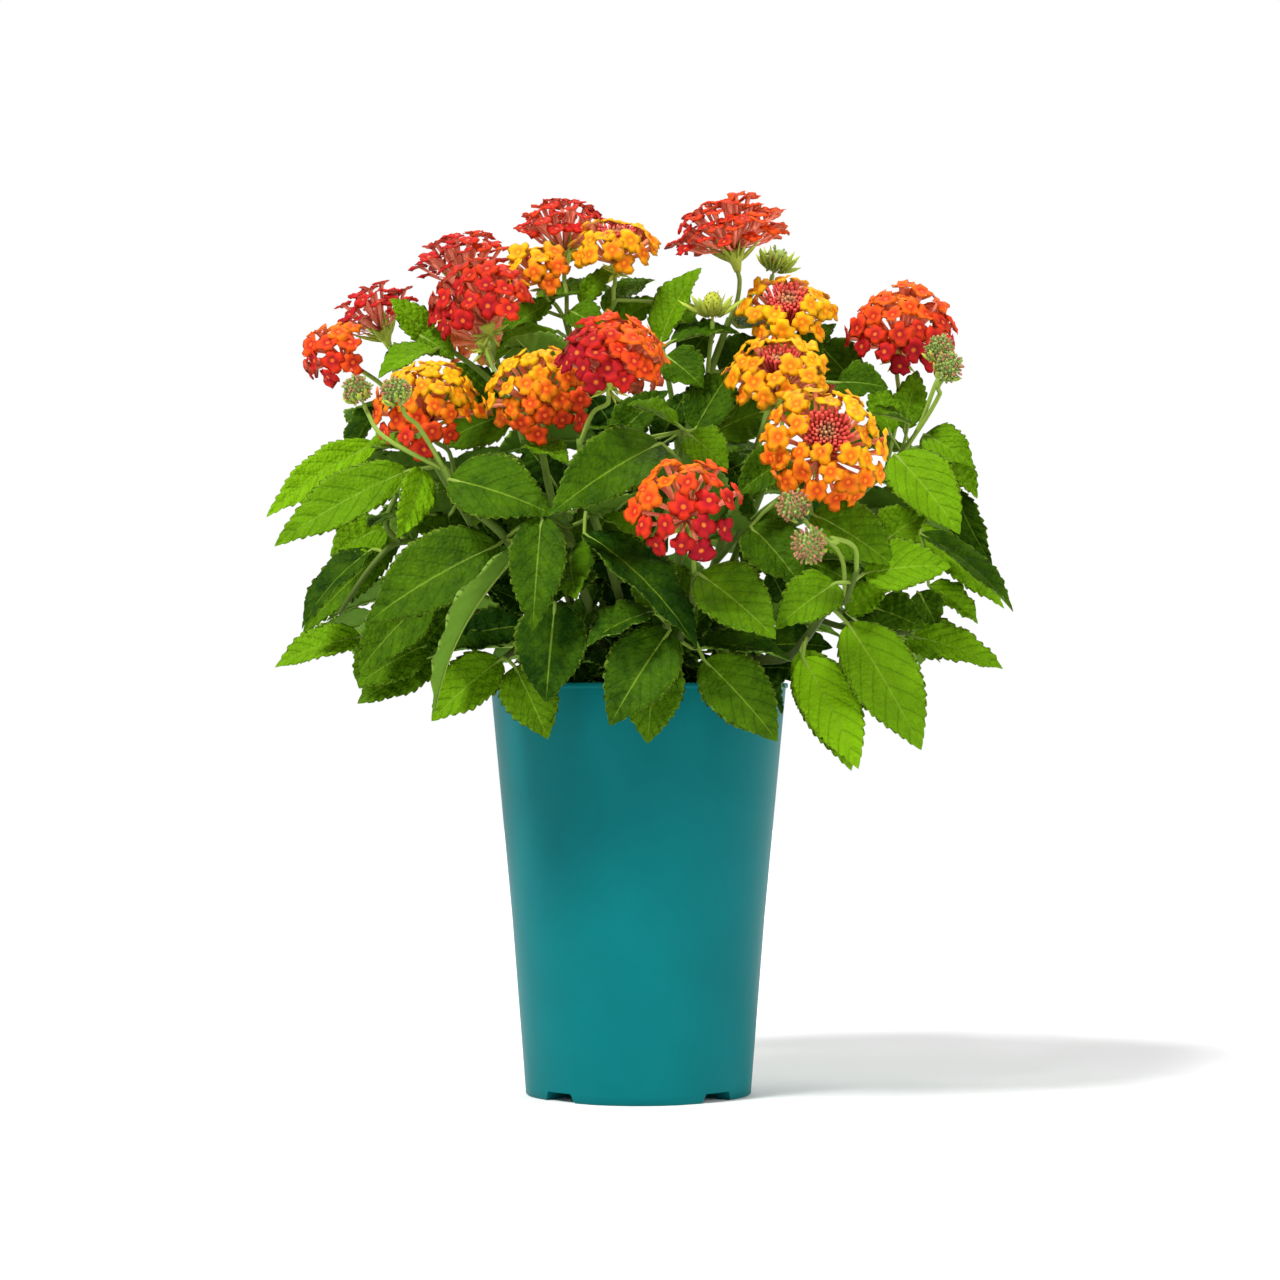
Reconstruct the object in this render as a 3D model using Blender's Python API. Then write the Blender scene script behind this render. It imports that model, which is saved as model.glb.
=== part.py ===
"""A flowering lantana in its plastic nursery pot: pot, soil, leafy stems, blooms and bud heads."""

import math
import random

import bmesh
import bpy
from mathutils import Matrix, Vector
from mathutils.bvhtree import BVHTree
from mathutils.geometry import intersect_point_line

MM = 0.001
GAP = 0.3

# The plant's places are read from the front: an eye at the rim's height sees them in the plane
# through the pot's axis, and depth says how far behind (+) or before (-) that plane each one lies.
EYE_DISTANCE = 1500
EYE_HEIGHT = 175

# Pot, in millimetres: a tall tapered nursery pot that stands on four feet
POT_SIDES = 32
POT_HEIGHT = 181.5
POT_FOOT_RADIUS = 49.8
POT_KINK_RADIUS = 55.9
POT_KINK_HEIGHT = 78
POT_TOP_RADIUS = 65.6
POT_WALL = 1.3
POT_FLOOR = 6.5
LIP_OUT = 0.8
LIP_HEIGHT = 2.5
CHANNEL_COUNT = 4
CHANNEL_HALF_WIDTH = 10
CHANNEL_SLOPE = 3
CHANNEL_HEIGHT = 4.0
CHANNEL_START = 22
DRAIN_RADIUS = 4.5
DRAIN_OUT = 36

# Soil
SOIL_TOP = 171
HOLE_DEPTH = 24

# Stems
TRUNK_RADIUS = 2.6
TRUNK_TIP_RADIUS = 1.9
BRANCH_RADIUS = 2.0
BRANCH_TIP_RADIUS = 1.7
STALK_RADIUS = 1.15
PETIOLE_RADIUS = 0.95
ROOT_RADIUS = 0.7
ROOT_PAST = 0.1
STEM_SIDES = 4
STALK_SIDES = 3
STALK_LEAD = 4
TRUNK_ABOVE_SOIL = 4
TIP_PAST = 2

# Leaf blades: a lens section, thickest along the midrib and closed along the toothed edge
BLADE_THICKNESS = 1.7
TOOTH_PITCH = 17
TOOTH_DEPTH = 0.16
MIDRIB_STATIONS = (0.3, 0.66)
WIDEST_RISE = 0.62
WIDEST_FALL = 0.95
ARCH = 0.06
FOLD = 0.16

# Blooms: trumpet florets on a round receptacle
FLORET_LOBES = 4
FLORET_NOTCH = 0.66
FLORET_SHARE = 0.47
FLORET_RISE = 0.16
FLORET_FOOT = 0.1
GOLDEN_ANGLE = math.radians(137.508)
RECEPTACLE_SIDES = 6
KNOB_DIP = 0.84

# Leaves that the front doesn't show grow in opposite pairs, this far back from their branch's tip
HIDDEN_SEED = 7
BACK_TRUNK_STEPS = (2,)
BACK_BRANCH_STEPS = (2, 26)
INNER_STEPS = {
    "stem_top_left": (70,),
    "stem_top_centre": (45,),
    "stem_top_right": (60, 105),
    "stem_centre": (40,),
    "stem_centre_left": (50,),
    "stem_right_upper": (80,),
    "stem_left": (75,),
    "stem_right": (60,),
    "stem_back_centre": (50,),
}
PAIR_WIDTH = 0.29

# Each stem's first branch is its trunk, which starts in the soil. Places are (across, depth, up).
BRANCHES = {
    "stem_left": [
        [(-26, 2, 172), (-50, -5, 215), (-80, -12, 262), (-100, -8, 298), (-108, 0, 320)],
        [(-50, -5, 215), (-78, -22, 240), (-106, -38, 244), (-118, -42, 234), (-132, -45, 214)],
        [(-106, -38, 244), (-112, -42, 252), (-108, -40, 264)],
        [(-50, -5, 215), (-78, -22, 212), (-104, -30, 205), (-115, -27, 203)],
    ],
    "stem_front_left": [
        [(-20, -20, 172), (-38, -55, 212), (-59, -85, 246), (-78, -82, 263), (-86, -80, 276)],
        [(-38, -55, 212), (-48, -70, 202), (-58, -78, 194)],
        [(-38, -55, 212), (-38, -80, 216)],
    ],
    "stem_top_left": [
        [(-10, 6, 172), (-28, 2, 240), (-50, -5, 298), (-62, -6, 322)],
        [(-50, -5, 298), (-68, -12, 318), (-84, -14, 330)],
    ],
    "stem_centre_left": [
        [(-8, -14, 172), (-24, -45, 222), (-38, -56, 262), (-43, -50, 286)],
    ],
    "stem_centre": [
        [(2, -10, 172), (-10, -42, 225), (-24, -68, 270), (-26, -74, 288)],
        [(-10, -42, 225), (10, -52, 252), (18, -64, 278), (20, -58, 292)],
    ],
    "stem_top_centre": [
        [(-4, 10, 172), (-14, 12, 250), (-26, 12, 318), (-32, 16, 342)],
        [(-26, 12, 318), (-16, 8, 340), (-11, 4, 350)],
    ],
    "stem_top_right": [
        [(8, 8, 172), (20, 6, 250), (30, 0, 312), (40, 2, 342)],
        [(20, 6, 250), (16, -6, 300), (11, -16, 328)],
    ],
    "stem_right_upper": [
        [(16, -2, 172), (34, -10, 235), (54, -18, 290), (62, -10, 320)],
        [(34, -10, 235), (52, -40, 255), (66, -60, 266), (76, -70, 276)],
    ],
    "stem_right": [
        [(24, 4, 172), (56, 0, 222), (90, -8, 258), (110, -16, 276)],
        [(56, 0, 222), (85, -18, 208), (110, -30, 204), (120, -32, 204)],
        [(90, -8, 258), (112, -12, 250), (124, -18, 250)],
        [(110, -16, 276), (124, -2, 286), (134, 4, 280)],
    ],
    "stem_front": [
        [(4, -26, 172), (14, -58, 194), (23, -88, 212), (25, -98, 228)],
        [(14, -58, 194), (12, -78, 204), (12, -90, 208)],
    ],
    "stem_front_right": [
        [(26, -18, 172), (46, -34, 190), (66, -54, 193), (74, -66, 201), (83, -78, 213), (92, -88, 218)],
        [(92, -88, 218), (97, -98, 231)],
    ],
    "stem_back_left": [
        [(-16, 20, 172), (-38, 42, 240), (-54, 62, 300)],
        [(-38, 42, 240), (-72, 50, 262), (-96, 52, 276)],
        [(-38, 42, 240), (-74, 62, 226), (-104, 68, 214)],
    ],
    "stem_back_centre": [
        [(0, 24, 172), (2, 48, 236), (-4, 70, 290)],
        [(2, 48, 236), (20, 84, 262)],
        [(2, 48, 236), (-34, 82, 272)],
    ],
    "stem_back_low": [
        [(6, 34, 172), (-4, 72, 205), (-10, 102, 232)],
        [(-4, 72, 205), (-40, 92, 208)],
        [(-4, 72, 205), (34, 96, 210)],
    ],
    "stem_back_right": [
        [(18, 18, 172), (44, 38, 240), (62, 56, 284)],
        [(44, 38, 240), (84, 48, 258), (108, 48, 262)],
        [(44, 38, 240), (78, 62, 218), (106, 66, 208)],
    ],
}

FRONT = (0, -1, 0.45)
SLANT = (0, -0.85, 0.65)
TOP = (0, -0.45, 1)
LEFT = (-0.7, -0.75, 0.4)
RIGHT = (0.7, -0.75, 0.4)
UP_LEFT = (-0.77, 0.2, 0.64)
UNDER = (0.1, 1, 0.25)

# (stem, base, tip, half width, the way its upper face looks)
LEAVES = [
    ("stem_left", (-117, -10, 288), (-166, -20, 257), 10, FRONT),
    ("stem_left", (-112, 15, 308), (-130, 10, 278), 10, LEFT),
    ("stem_left", (-99, -30, 284), (-121, -46, 287), 10, TOP),
    ("stem_front_left", (-102, -62, 276), (-162, -68, 243), 12.5, FRONT),
    ("stem_front_left", (-96, -74, 277), (-107, -92, 246), 9, RIGHT),
    ("stem_left", (-112, -18, 251), (-137, -26, 238), 12, FRONT),
    ("stem_left", (-118, -30, 241), (-148, -36, 204), 11, LEFT),
    ("stem_left", (-123, -23, 202), (-162, -26, 190), 10, SLANT),
    ("stem_front_left", (-62, -88, 243), (-120, -88, 210), 18, FRONT),
    ("stem_left", (-93, -48, 220), (-124, -62, 188), 14, FRONT),
    ("stem_left", (-93, -44, 199), (-125, -46, 181), 12, FRONT),
    ("stem_left", (-108, -18, 204), (-125, -6, 179), 11, FRONT),
    ("stem_left", (-108, -36, 262), (-102, -30, 243), 9, UNDER),
    ("stem_front_left", (-52, -97, 241), (-109, -102, 180), 15, UP_LEFT),
    ("stem_front_left", (-61, -78, 192), (-92, -84, 165), 12.5, FRONT),
    ("stem_front_left", (-59, -66, 198), (-94, -70, 193), 10, TOP),
    ("stem_front_left", (-55, -82, 189), (-40, -88, 157), 13, FRONT),
    ("stem_front_left", (-37, -94, 217), (-41, -102, 173), 16, FRONT),
    ("stem_front_left", (-43, -104, 256), (-47, -114, 205), 12.5, FRONT),
    ("stem_front_left", (-84, -90, 272), (-38, -106, 257), 16, FRONT),
    ("stem_centre", (10, -84, 288), (-39, -120, 257), 16, FRONT),
    ("stem_centre", (-24, -90, 248), (27, -116, 198), 16, RIGHT),
    ("stem_centre", (-16, -80, 256), (3, -84, 243), 8, TOP),
    ("stem_front", (27, -106, 230), (61, -122, 202), 15, FRONT),
    ("stem_front", (7, -98, 213), (-23, -110, 199), 12, TOP),
    ("stem_front", (14, -100, 205), (-13, -108, 163), 16, FRONT),
    ("stem_front", (8, -88, 196), (4, -94, 155), 14, FRONT),
    ("stem_front", (29, -90, 192), (62, -96, 156), 15, FRONT),
    ("stem_front", (24, -70, 197), (68, -80, 194), 13, TOP),
    ("stem_front_right", (88, -96, 226), (61, -112, 206), 12, FRONT),
    ("stem_front_right", (93, -80, 208), (126, -84, 152), 16.5, FRONT),
    ("stem_front_right", (73, -80, 193), (98, -90, 144), 14, FRONT),
    ("stem_front_right", (100, -90, 230), (139, -94, 234), 13, FRONT),
    ("stem_right", (125, -22, 248), (167, -30, 214), 11, TOP),
    ("stem_right", (140, 6, 268), (157, 0, 234), 9, LEFT),
    ("stem_right", (114, -40, 283), (143, -56, 248), 15, FRONT),
    ("stem_right", (127, 0, 292), (149, -10, 278), 10, FRONT),
    ("stem_right", (120, -26, 297), (103, -36, 302), 8, TOP),
    ("stem_right_upper", (88, -22, 315), (111, -34, 313), 10, FRONT),
    ("stem_right_upper", (80, 14, 332), (99, 8, 311), 12, FRONT),
    ("stem_right_upper", (77, -86, 257), (110, -96, 230), 14, FRONT),
    ("stem_right", (108, -36, 243), (128, -46, 257), 12, FRONT),
    ("stem_right", (103, -50, 215), (127, -62, 206), 11, FRONT),
    ("stem_right", (124, -34, 222), (133, -38, 206), 8, FRONT),
    ("stem_right", (122, -45, 202), (162, -50, 188), 10, SLANT),
    ("stem_right", (118, -22, 201), (151, -26, 197), 11, FRONT),
    ("stem_right", (129, -14, 225), (151, -12, 208), 9, RIGHT),
    ("stem_right_upper", (50, -66, 251), (73, -82, 225), 14, FRONT),
    ("stem_right_upper", (67, -66, 281), (44, -84, 266), 11, FRONT),
    ("stem_centre", (22, -66, 292), (40, -78, 277), 10, FRONT),
    ("stem_centre", (18, -62, 296), (-5, -64, 306), 10, TOP),
    ("stem_centre", (25, -42, 294), (41, -28, 320), 12, FRONT),
    ("stem_top_right", (10, -8, 333), (27, -12, 367), 12, LEFT),
    ("stem_top_right", (14, -22, 333), (45, -20, 338), 10, TOP),
    ("stem_top_right", (12, -32, 327), (29, -40, 313), 11, FRONT),
    ("stem_top_centre", (-15, 12, 346), (7, 26, 362), 9, TOP),
    ("stem_top_centre", (8, 12, 351), (27, 0, 336), 9, FRONT),
    ("stem_top_centre", (-46, 26, 350), (-8, 34, 357), 11, TOP),
    ("stem_top_centre", (-31, -2, 347), (-15, -14, 338), 9, FRONT),
    ("stem_top_centre", (-36, -10, 338), (-64, -30, 326), 11, TOP),
    ("stem_top_left", (-92, -8, 333), (-110, -10, 353), 8, FRONT),
    ("stem_top_left", (-90, -25, 330), (-116, -35, 318), 11, TOP),
    ("stem_top_left", (-97, -16, 336), (-82, -24, 326), 8, FRONT),
    ("stem_centre_left", (-50, -62, 287), (-31, -76, 282), 10, TOP),
    ("stem_centre_left", (-30, -48, 232), (-54, -66, 205), 14, FRONT),
    ("stem_centre", (2, -44, 230), (26, -64, 208), 14, FRONT),
    ("stem_right_upper", (46, -24, 244), (78, -36, 230), 14, FRONT),
    ("stem_right", (72, -8, 236), (98, -44, 224), 14, FRONT),
    ("stem_left", (-72, -16, 246), (-96, -40, 226), 14, FRONT),
    ("stem_top_left", (-40, -2, 272), (-72, -22, 260), 14, FRONT),
    ("stem_top_right", (26, 2, 268), (52, -14, 256), 14, FRONT),
    ("stem_top_centre", (-20, 8, 288), (-4, -22, 296), 13, TOP),
    ("stem_top_right", (36, 6, 320), (58, 16, 334), 11, FRONT),
    ("stem_left", (-96, 2, 290), (-132, 24, 276), 13, TOP),
    ("stem_right", (112, -8, 272), (146, 20, 262), 13, TOP),
    ("stem_top_left", (-54, 4, 302), (-90, 12, 290), 15, FRONT),
    ("stem_top_left", (-36, 8, 262), (-68, 16, 240), 15, FRONT),
    ("stem_top_centre", (-28, 18, 302), (-54, 26, 314), 13, FRONT),
    ("stem_top_centre", (-12, 18, 262), (14, 30, 240), 15, FRONT),
    ("stem_top_right", (32, 6, 292), (60, 16, 304), 14, FRONT),
    ("stem_top_right", (26, 10, 262), (58, 22, 276), 15, FRONT),
    ("stem_top_right", (44, 8, 340), (68, 34, 336), 12, TOP),
    ("stem_right_upper", (48, -8, 280), (24, 0, 264), 13, FRONT),
    ("stem_right_upper", (64, -8, 304), (92, 2, 294), 13, FRONT),
    ("stem_right", (82, -2, 246), (108, 8, 226), 15, FRONT),
    ("stem_left", (-84, -4, 276), (-72, 12, 244), 14, FRONT),
    ("stem_centre_left", (-22, -44, 238), (-4, -46, 266), 13, FRONT),
    ("stem_left", (-104, 8, 304), (-130, 40, 298), 13, TOP),
    ("stem_left", (-84, 0, 262), (-116, 40, 250), 15, TOP),
    ("stem_left", (-84, -14, 214), (-124, 24, 206), 15, TOP),
    ("stem_right", (102, -4, 272), (124, 40, 272), 13, TOP),
    ("stem_right", (80, 4, 248), (114, 36, 236), 15, TOP),
    ("stem_right", (92, -12, 208), (132, 22, 204), 15, TOP),
]

# (name, stem, stalk from a branch point, receptacle, reach, spread in degrees, the way it looks,
# florets, share of the reach that the receptacle fills, colour)
ORANGE = (0.98, 0.36, 0.01)
RED = (0.78, 0.02, 0.01)
CRIMSON = (0.48, 0.0, 0.01)
BLOOMS = [
    ("bloom_top_centre", "stem_top_centre", [(-32, 16, 342), (-32, 24, 356)],
     (-33, 33, 371), 27, 55, (0, -0.12, 1), 9, 0.24, RED),
    ("bloom_top_orange", "stem_top_centre", [(-11, 4, 350), (-11, 3, 358)],
     (-10, -2, 371), 19, 85, (0.05, -0.45, 0.9), 9, 0.5, ORANGE),
    ("bloom_top_small", "stem_top_centre", [(-32, 16, 342), (-37, 12, 350)],
     (-44, 2, 362), 15, 85, (-0.3, -0.5, 0.8), 8, 0.5, ORANGE),
    ("bloom_top_left_back", "stem_top_left", [(-62, -6, 322), (-70, 12, 342)],
     (-76, 24, 358), 26, 58, (-0.2, -0.1, 1), 9, 0.24, RED),
    ("bloom_top_left_front", "stem_top_left", [(-62, -6, 322), (-64, -14, 332)],
     (-68, -26, 343), 26, 78, (-0.3, -0.4, 0.86), 11, 0.36, RED),
    ("bloom_left", "stem_left", [(-108, 0, 320), (-109, 8, 326)],
     (-113, 14, 336), 24, 58, (-0.4, -0.1, 0.9), 8, 0.24, RED),
    ("bloom_far_left", "stem_left", [(-100, -8, 298), (-114, -8, 314), (-124, -9, 321)],
     (-133, -12, 327), 15, 85, (-0.6, -0.6, 0.4), 7, 0.5, RED),
    ("bloom_left_orange", "stem_left", [(-80, -12, 262), (-84, -30, 284)],
     (-93, -52, 301), 23.5, 88, (-0.1, -0.75, 0.65), 11, 0.5, ORANGE),
    ("bloom_centre_orange", "stem_centre_left", [(-43, -50, 286), (-43, -46, 296)],
     (-44, -60, 307), 23, 90, (-0.1, -0.8, 0.6), 11, 0.5, ORANGE),
    ("bloom_centre_crimson", "stem_centre", [(-26, -74, 288), (-18, -84, 307)],
     (-12, -94, 321), 23, 86, (0.1, -0.5, 0.85), 11, 0.5, CRIMSON),
    ("bloom_top_right", "stem_top_right", [(40, 2, 342), (43, 4, 358)],
     (43, 4, 371), 29, 60, (0, -0.12, 1), 9, 0.22, RED),
    ("bloom_right_ring", "stem_right_upper", [(62, -10, 320), (66, -2, 332)],
     (66, -6, 342), 21, 85, (0, -0.7, 0.7), 9, 0.5, ORANGE),
    ("bloom_right_middle", "stem_right_upper", [(54, -18, 290), (60, -34, 302)],
     (62, -46, 313), 23, 82, (0, -0.6, 0.8), 9, 0.5, ORANGE),
    ("bloom_right_large", "stem_right_upper", [(76, -70, 276), (80, -74, 280)],
     (82, -87, 285), 27, 92, (0.05, -0.92, 0.38), 11, 0.5, ORANGE),
    ("bloom_right", "stem_right", [(110, -16, 276), (116, 2, 306)],
     (119, 5, 330), 25, 90, (0.1, -0.6, 0.8), 11, 0.42, RED),
    ("bloom_front", "stem_front", [(25, -98, 228), (24, -103, 243)],
     (21, -117, 256), 24, 84, (-0.15, -0.85, 0.5), 9, 0.36, RED),
    ("bloom_back_left", "stem_back_left", [(-54, 62, 300), (-64, 76, 320)],
     (-70, 88, 335), 22, 85, (-0.3, 0.6, 0.75), 9, 0.5, ORANGE),
    ("bloom_back_centre", "stem_back_centre", [(-4, 70, 290), (-8, 80, 306)],
     (-11, 92, 322), 23, 85, (0.1, 0.6, 0.8), 9, 0.5, ORANGE),
    ("bloom_back_right", "stem_back_right", [(62, 56, 284), (64, 70, 302)],
     (66, 84, 317), 22, 85, (0.4, 0.6, 0.7), 9, 0.5, RED),
    ("bloom_back_low", "stem_back_low", [(-10, 102, 232), (-13, 116, 248)],
     (-15, 130, 262), 23, 88, (0, 0.9, 0.45), 9, 0.5, ORANGE),
]

# (name, stem, stalk from a branch point, centre, radius, the way it looks)
BUD_HEADS = [
    ("buds_left_outer", "stem_front_left", [(-86, -80, 276), (-113, -78, 291)],
     (-125, -60, 312), 6.5, (-0.4, 0, 0.9)),
    ("buds_left_inner", "stem_front_left", [(-86, -80, 276), (-98, -88, 296)],
     (-108, -92, 311), 6.5, (-0.4, 0, 0.9)),
    ("seed_head_top", "stem_top_right", [(30, 0, 312), (32, -14, 332)],
     (33, -22, 350), 7, (0, -0.2, 1)),
    ("buds_top_right", "stem_top_right", [(40, 2, 342), (54, 22, 358)],
     (62, 34, 370), 7, (0.3, 0, 0.9)),
    ("buds_far_right_upper", "stem_right", [(110, -16, 276), (123, -28, 292), (132, -33, 314)],
     (134, -31, 330), 6.5, (0, 0, 1)),
    ("buds_far_right_lower", "stem_right", [(110, -16, 276), (123, -28, 292), (134, -38, 310)],
     (138, -46, 322), 6.5, (0.4, -0.5, 0.8)),
    ("buds_front_right_upper", "stem_front_right", [(92, -88, 218), (90, -102, 238), (78, -118, 250)],
     (69, -126, 260), 7, (-0.6, -0.4, 0.7)),
    ("buds_front_right_lower", "stem_front_right", [(97, -98, 231), (96, -110, 242), (86, -124, 246)],
     (76, -132, 243), 8, (-0.9, -0.3, -0.1)),
]

# A leaf that would cross something is bent clear: the first of these pitch and yaw pairs, in
# degrees about its base, that leaves it free is the one it takes.
BENDS = [(0, 0), (6, 0), (-6, 0), (0, 8), (0, -8), (12, 0), (-12, 0), (8, 10), (8, -10), (-8, 10),
         (-8, -10), (18, 0), (-18, 0), (0, 16), (0, -16), (16, 14), (16, -14), (-16, 14), (-16, -14),
         (26, 0), (-26, 0), (0, 26), (0, -26), (26, 18), (26, -18), (-26, 18), (-26, -18),
         (36, 0), (-36, 0), (36, 20), (36, -20), (-36, 20), (-36, -20), (0, 38), (0, -38)]
BEND_CLEARANCE = 0.5
CROSSING_COST = 6


for old in list(bpy.data.objects):
    bpy.data.objects.remove(old)


def real_place(place):
    """Where in space a place read from the front lies, in metres."""
    across, depth, up = place
    reach = (EYE_DISTANCE + depth) / EYE_DISTANCE
    return Vector((across * reach, depth, EYE_HEIGHT + (up - EYE_HEIGHT) * reach)) * MM


def material(name, colour, roughness):
    made = bpy.data.materials.new(name)
    made.use_nodes = True
    shader = made.node_tree.nodes["Principled BSDF"]
    shader.inputs["Base Color"].default_value = (*colour, 1)
    shader.inputs["Roughness"].default_value = roughness
    made.diffuse_color = (*colour, 1)
    return made


def object_from(bm, name, look):
    mesh = bpy.data.meshes.new(name)
    bm.to_mesh(mesh)
    mesh.materials.append(look)
    made = bpy.data.objects.new(name, mesh)
    bpy.context.scene.collection.objects.link(made)
    return made


def apply_modifiers(target):
    graph = bpy.context.evaluated_depsgraph_get()
    mesh = bpy.data.meshes.new_from_object(target.evaluated_get(graph))
    target.modifiers.clear()
    target.data = mesh


def fused(name, shapes, look):
    """One object from shapes that run into each other, joined by one Boolean union."""
    joined = object_from(shapes[0], name, look)
    others = bpy.data.collections.new(name + "_shapes")
    bpy.context.scene.collection.children.link(others)
    for index, shape in enumerate(shapes[1:]):
        other = object_from(shape, f"{name}_shape_{index}", look)
        bpy.context.scene.collection.objects.unlink(other)
        others.objects.link(other)
    join = joined.modifiers.new("Join", "BOOLEAN")
    join.operation = "UNION"
    join.operand_type = "COLLECTION"
    join.solver = "MANIFOLD"
    join.collection = others
    apply_modifiers(joined)
    for other in list(others.objects):
        bpy.data.objects.remove(other)
    bpy.data.collections.remove(others)
    return joined


def tube(path, start_radius, end_radius, sides):
    """A closed tapering tube along a path."""
    bm = bmesh.new()
    side = Vector((1, 0, 0))
    rings = []
    last = len(path) - 1
    for index, point in enumerate(path):
        ahead = (path[min(index + 1, last)] - path[max(index - 1, 0)]).normalized()
        if abs(side.dot(ahead)) > 0.9:
            side = Vector((0, 1, 0))
        side = (side - ahead * side.dot(ahead)).normalized()
        over = ahead.cross(side)
        radius = (start_radius + (end_radius - start_radius) * index / last) * MM
        ring = []
        for k in range(sides):
            turn = 2 * math.pi * k / sides
            ring.append(bm.verts.new(point + (side * math.cos(turn) + over * math.sin(turn)) * radius))
        rings.append(ring)
    for low, high in zip(rings, rings[1:]):
        for k in range(sides):
            after = (k + 1) % sides
            bm.faces.new((low[k], low[after], high[after], high[k]))
    bm.faces.new(rings[0][::-1])
    bm.faces.new(rings[-1])
    return bm


def turned(profile, sides):
    """A solid turned about the pot's axis from (radius, height) points, in millimetres."""
    bm = bmesh.new()
    points = [bm.verts.new((radius * MM, 0, height * MM)) for radius, height in profile]
    edges = [bm.edges.new(pair) for pair in zip(points, points[1:])]
    bmesh.ops.spin(bm, geom=points + edges, cent=(0, 0, 0), axis=(0, 0, 1), dvec=(0, 0, 0),
                   angle=2 * math.pi, steps=sides, use_merge=True, use_duplicate=False)
    bmesh.ops.remove_doubles(bm, verts=bm.verts, dist=1e-6)
    bmesh.ops.recalc_face_normals(bm, faces=bm.faces)
    return bm


def cutter(bm, name, target):
    """A helper that is cut out of its target and isn't a piece itself."""
    made = object_from(bm, name, target.data.materials[0])
    made.hide_render = True
    made.display_type = "WIRE"
    cut = target.modifiers.new(name, "BOOLEAN")
    cut.operation = "DIFFERENCE"
    cut.object = made
    return made


# Pot
def pot_radius(height):
    """The outside of the pot's wall: it widens slowly to the kink and faster above it."""
    if height < POT_KINK_HEIGHT:
        return POT_FOOT_RADIUS + (POT_KINK_RADIUS - POT_FOOT_RADIUS) * height / POT_KINK_HEIGHT
    share = (height - POT_KINK_HEIGHT) / (POT_HEIGHT - POT_KINK_HEIGHT)
    return POT_KINK_RADIUS + (POT_TOP_RADIUS - POT_KINK_RADIUS) * share


lip_base = POT_HEIGHT - LIP_HEIGHT
pot_profile = [
    (0, 0),
    (pot_radius(0), 0),
    (pot_radius(POT_KINK_HEIGHT), POT_KINK_HEIGHT),
    (pot_radius(lip_base), lip_base),
    (POT_TOP_RADIUS + LIP_OUT, lip_base + LIP_OUT),
    (POT_TOP_RADIUS + LIP_OUT, POT_HEIGHT),
    (POT_TOP_RADIUS - POT_WALL, POT_HEIGHT),
    (pot_radius(POT_KINK_HEIGHT) - POT_WALL, POT_KINK_HEIGHT),
    (pot_radius(POT_FLOOR) - POT_WALL, POT_FLOOR),
    (0, POT_FLOOR),
]
teal = material("pot_teal", (0.0, 0.15, 0.16), 0.35)
pot = object_from(turned(pot_profile, POT_SIDES), "pot", teal)

# Four channels under the floor lead the water from the drain holes out between the feet
channels = bmesh.new()
drains = bmesh.new()
for number in range(CHANNEL_COUNT):
    turn = Matrix.Rotation(math.radians(45 + 360 / CHANNEL_COUNT * number), 4, "Z")
    reach = POT_FOOT_RADIUS + 5 - CHANNEL_START
    made = bmesh.ops.create_cube(channels, size=1)["verts"]
    for corner in made:
        upper = corner.co.z > 0
        half = CHANNEL_HALF_WIDTH - (CHANNEL_SLOPE if upper else 0)
        corner.co = Vector((
            CHANNEL_START + (corner.co.x + 0.5) * reach,
            math.copysign(half, corner.co.y),
            CHANNEL_HEIGHT if upper else -2,
        )) * MM
    bmesh.ops.transform(channels, matrix=turn, verts=made)
    place = turn @ Matrix.Translation((DRAIN_OUT * MM, 0, POT_FLOOR / 2 * MM))
    bmesh.ops.create_cone(drains, cap_ends=True, segments=8, radius1=DRAIN_RADIUS * MM,
                          radius2=DRAIN_RADIUS * MM, depth=POT_FLOOR * 2 * MM, matrix=place)
cutter(channels, "pot_channels", pot)
cutter(drains, "pot_drains", pot)


# Leafy stems
def branch_paths(name):
    """The centre line of each branch of a stem; the trunk starts straight down in the soil."""
    trunk, *others = [[real_place(place) for place in branch] for branch in BRANCHES[name]]
    foot = trunk[0].copy()
    foot.z = (SOIL_TOP + TRUNK_ABOVE_SOIL) * MM
    root = foot.copy()
    root.z = (SOIL_TOP - HOLE_DEPTH + GAP) * MM
    paths = [[root, foot, *trunk[1:]], *others]
    for path in paths:
        path[-1] += (path[-1] - path[-2]).normalized() * TIP_PAST * MM
    return paths


def half_width_at(u):
    """A lantana blade's half width along its length, 1 at its widest."""
    peak = WIDEST_RISE / (WIDEST_RISE + WIDEST_FALL)
    widest = peak**WIDEST_RISE * (1 - peak) ** WIDEST_FALL
    return u**WIDEST_RISE * (1 - u) ** WIDEST_FALL / widest


def blade_axes(base, tip, facing, bend):
    """The blade's length, and its directions along, across and out of its upper face."""
    along = (tip - base).normalized()
    normal = Vector(facing)
    normal = (normal - along * normal.dot(along)).normalized()
    across = normal.cross(along)
    pitch, yaw = (math.radians(angle) for angle in bend)
    turn = Matrix.Rotation(yaw, 3, normal) @ Matrix.Rotation(pitch, 3, across)
    return (tip - base).length, turn @ along, turn @ across, turn @ normal


def blade_point(base, axes, half, u, v):
    """A point of the blade's middle surface: u runs from base to tip, v from edge to edge."""
    length, along, across, normal = axes
    out = half * MM * half_width_at(u)
    rise = ARCH * length * 4 * u * (1 - u) + FOLD * out * abs(v)
    return base + along * (u * length) + across * (v * out) + normal * rise


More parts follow.
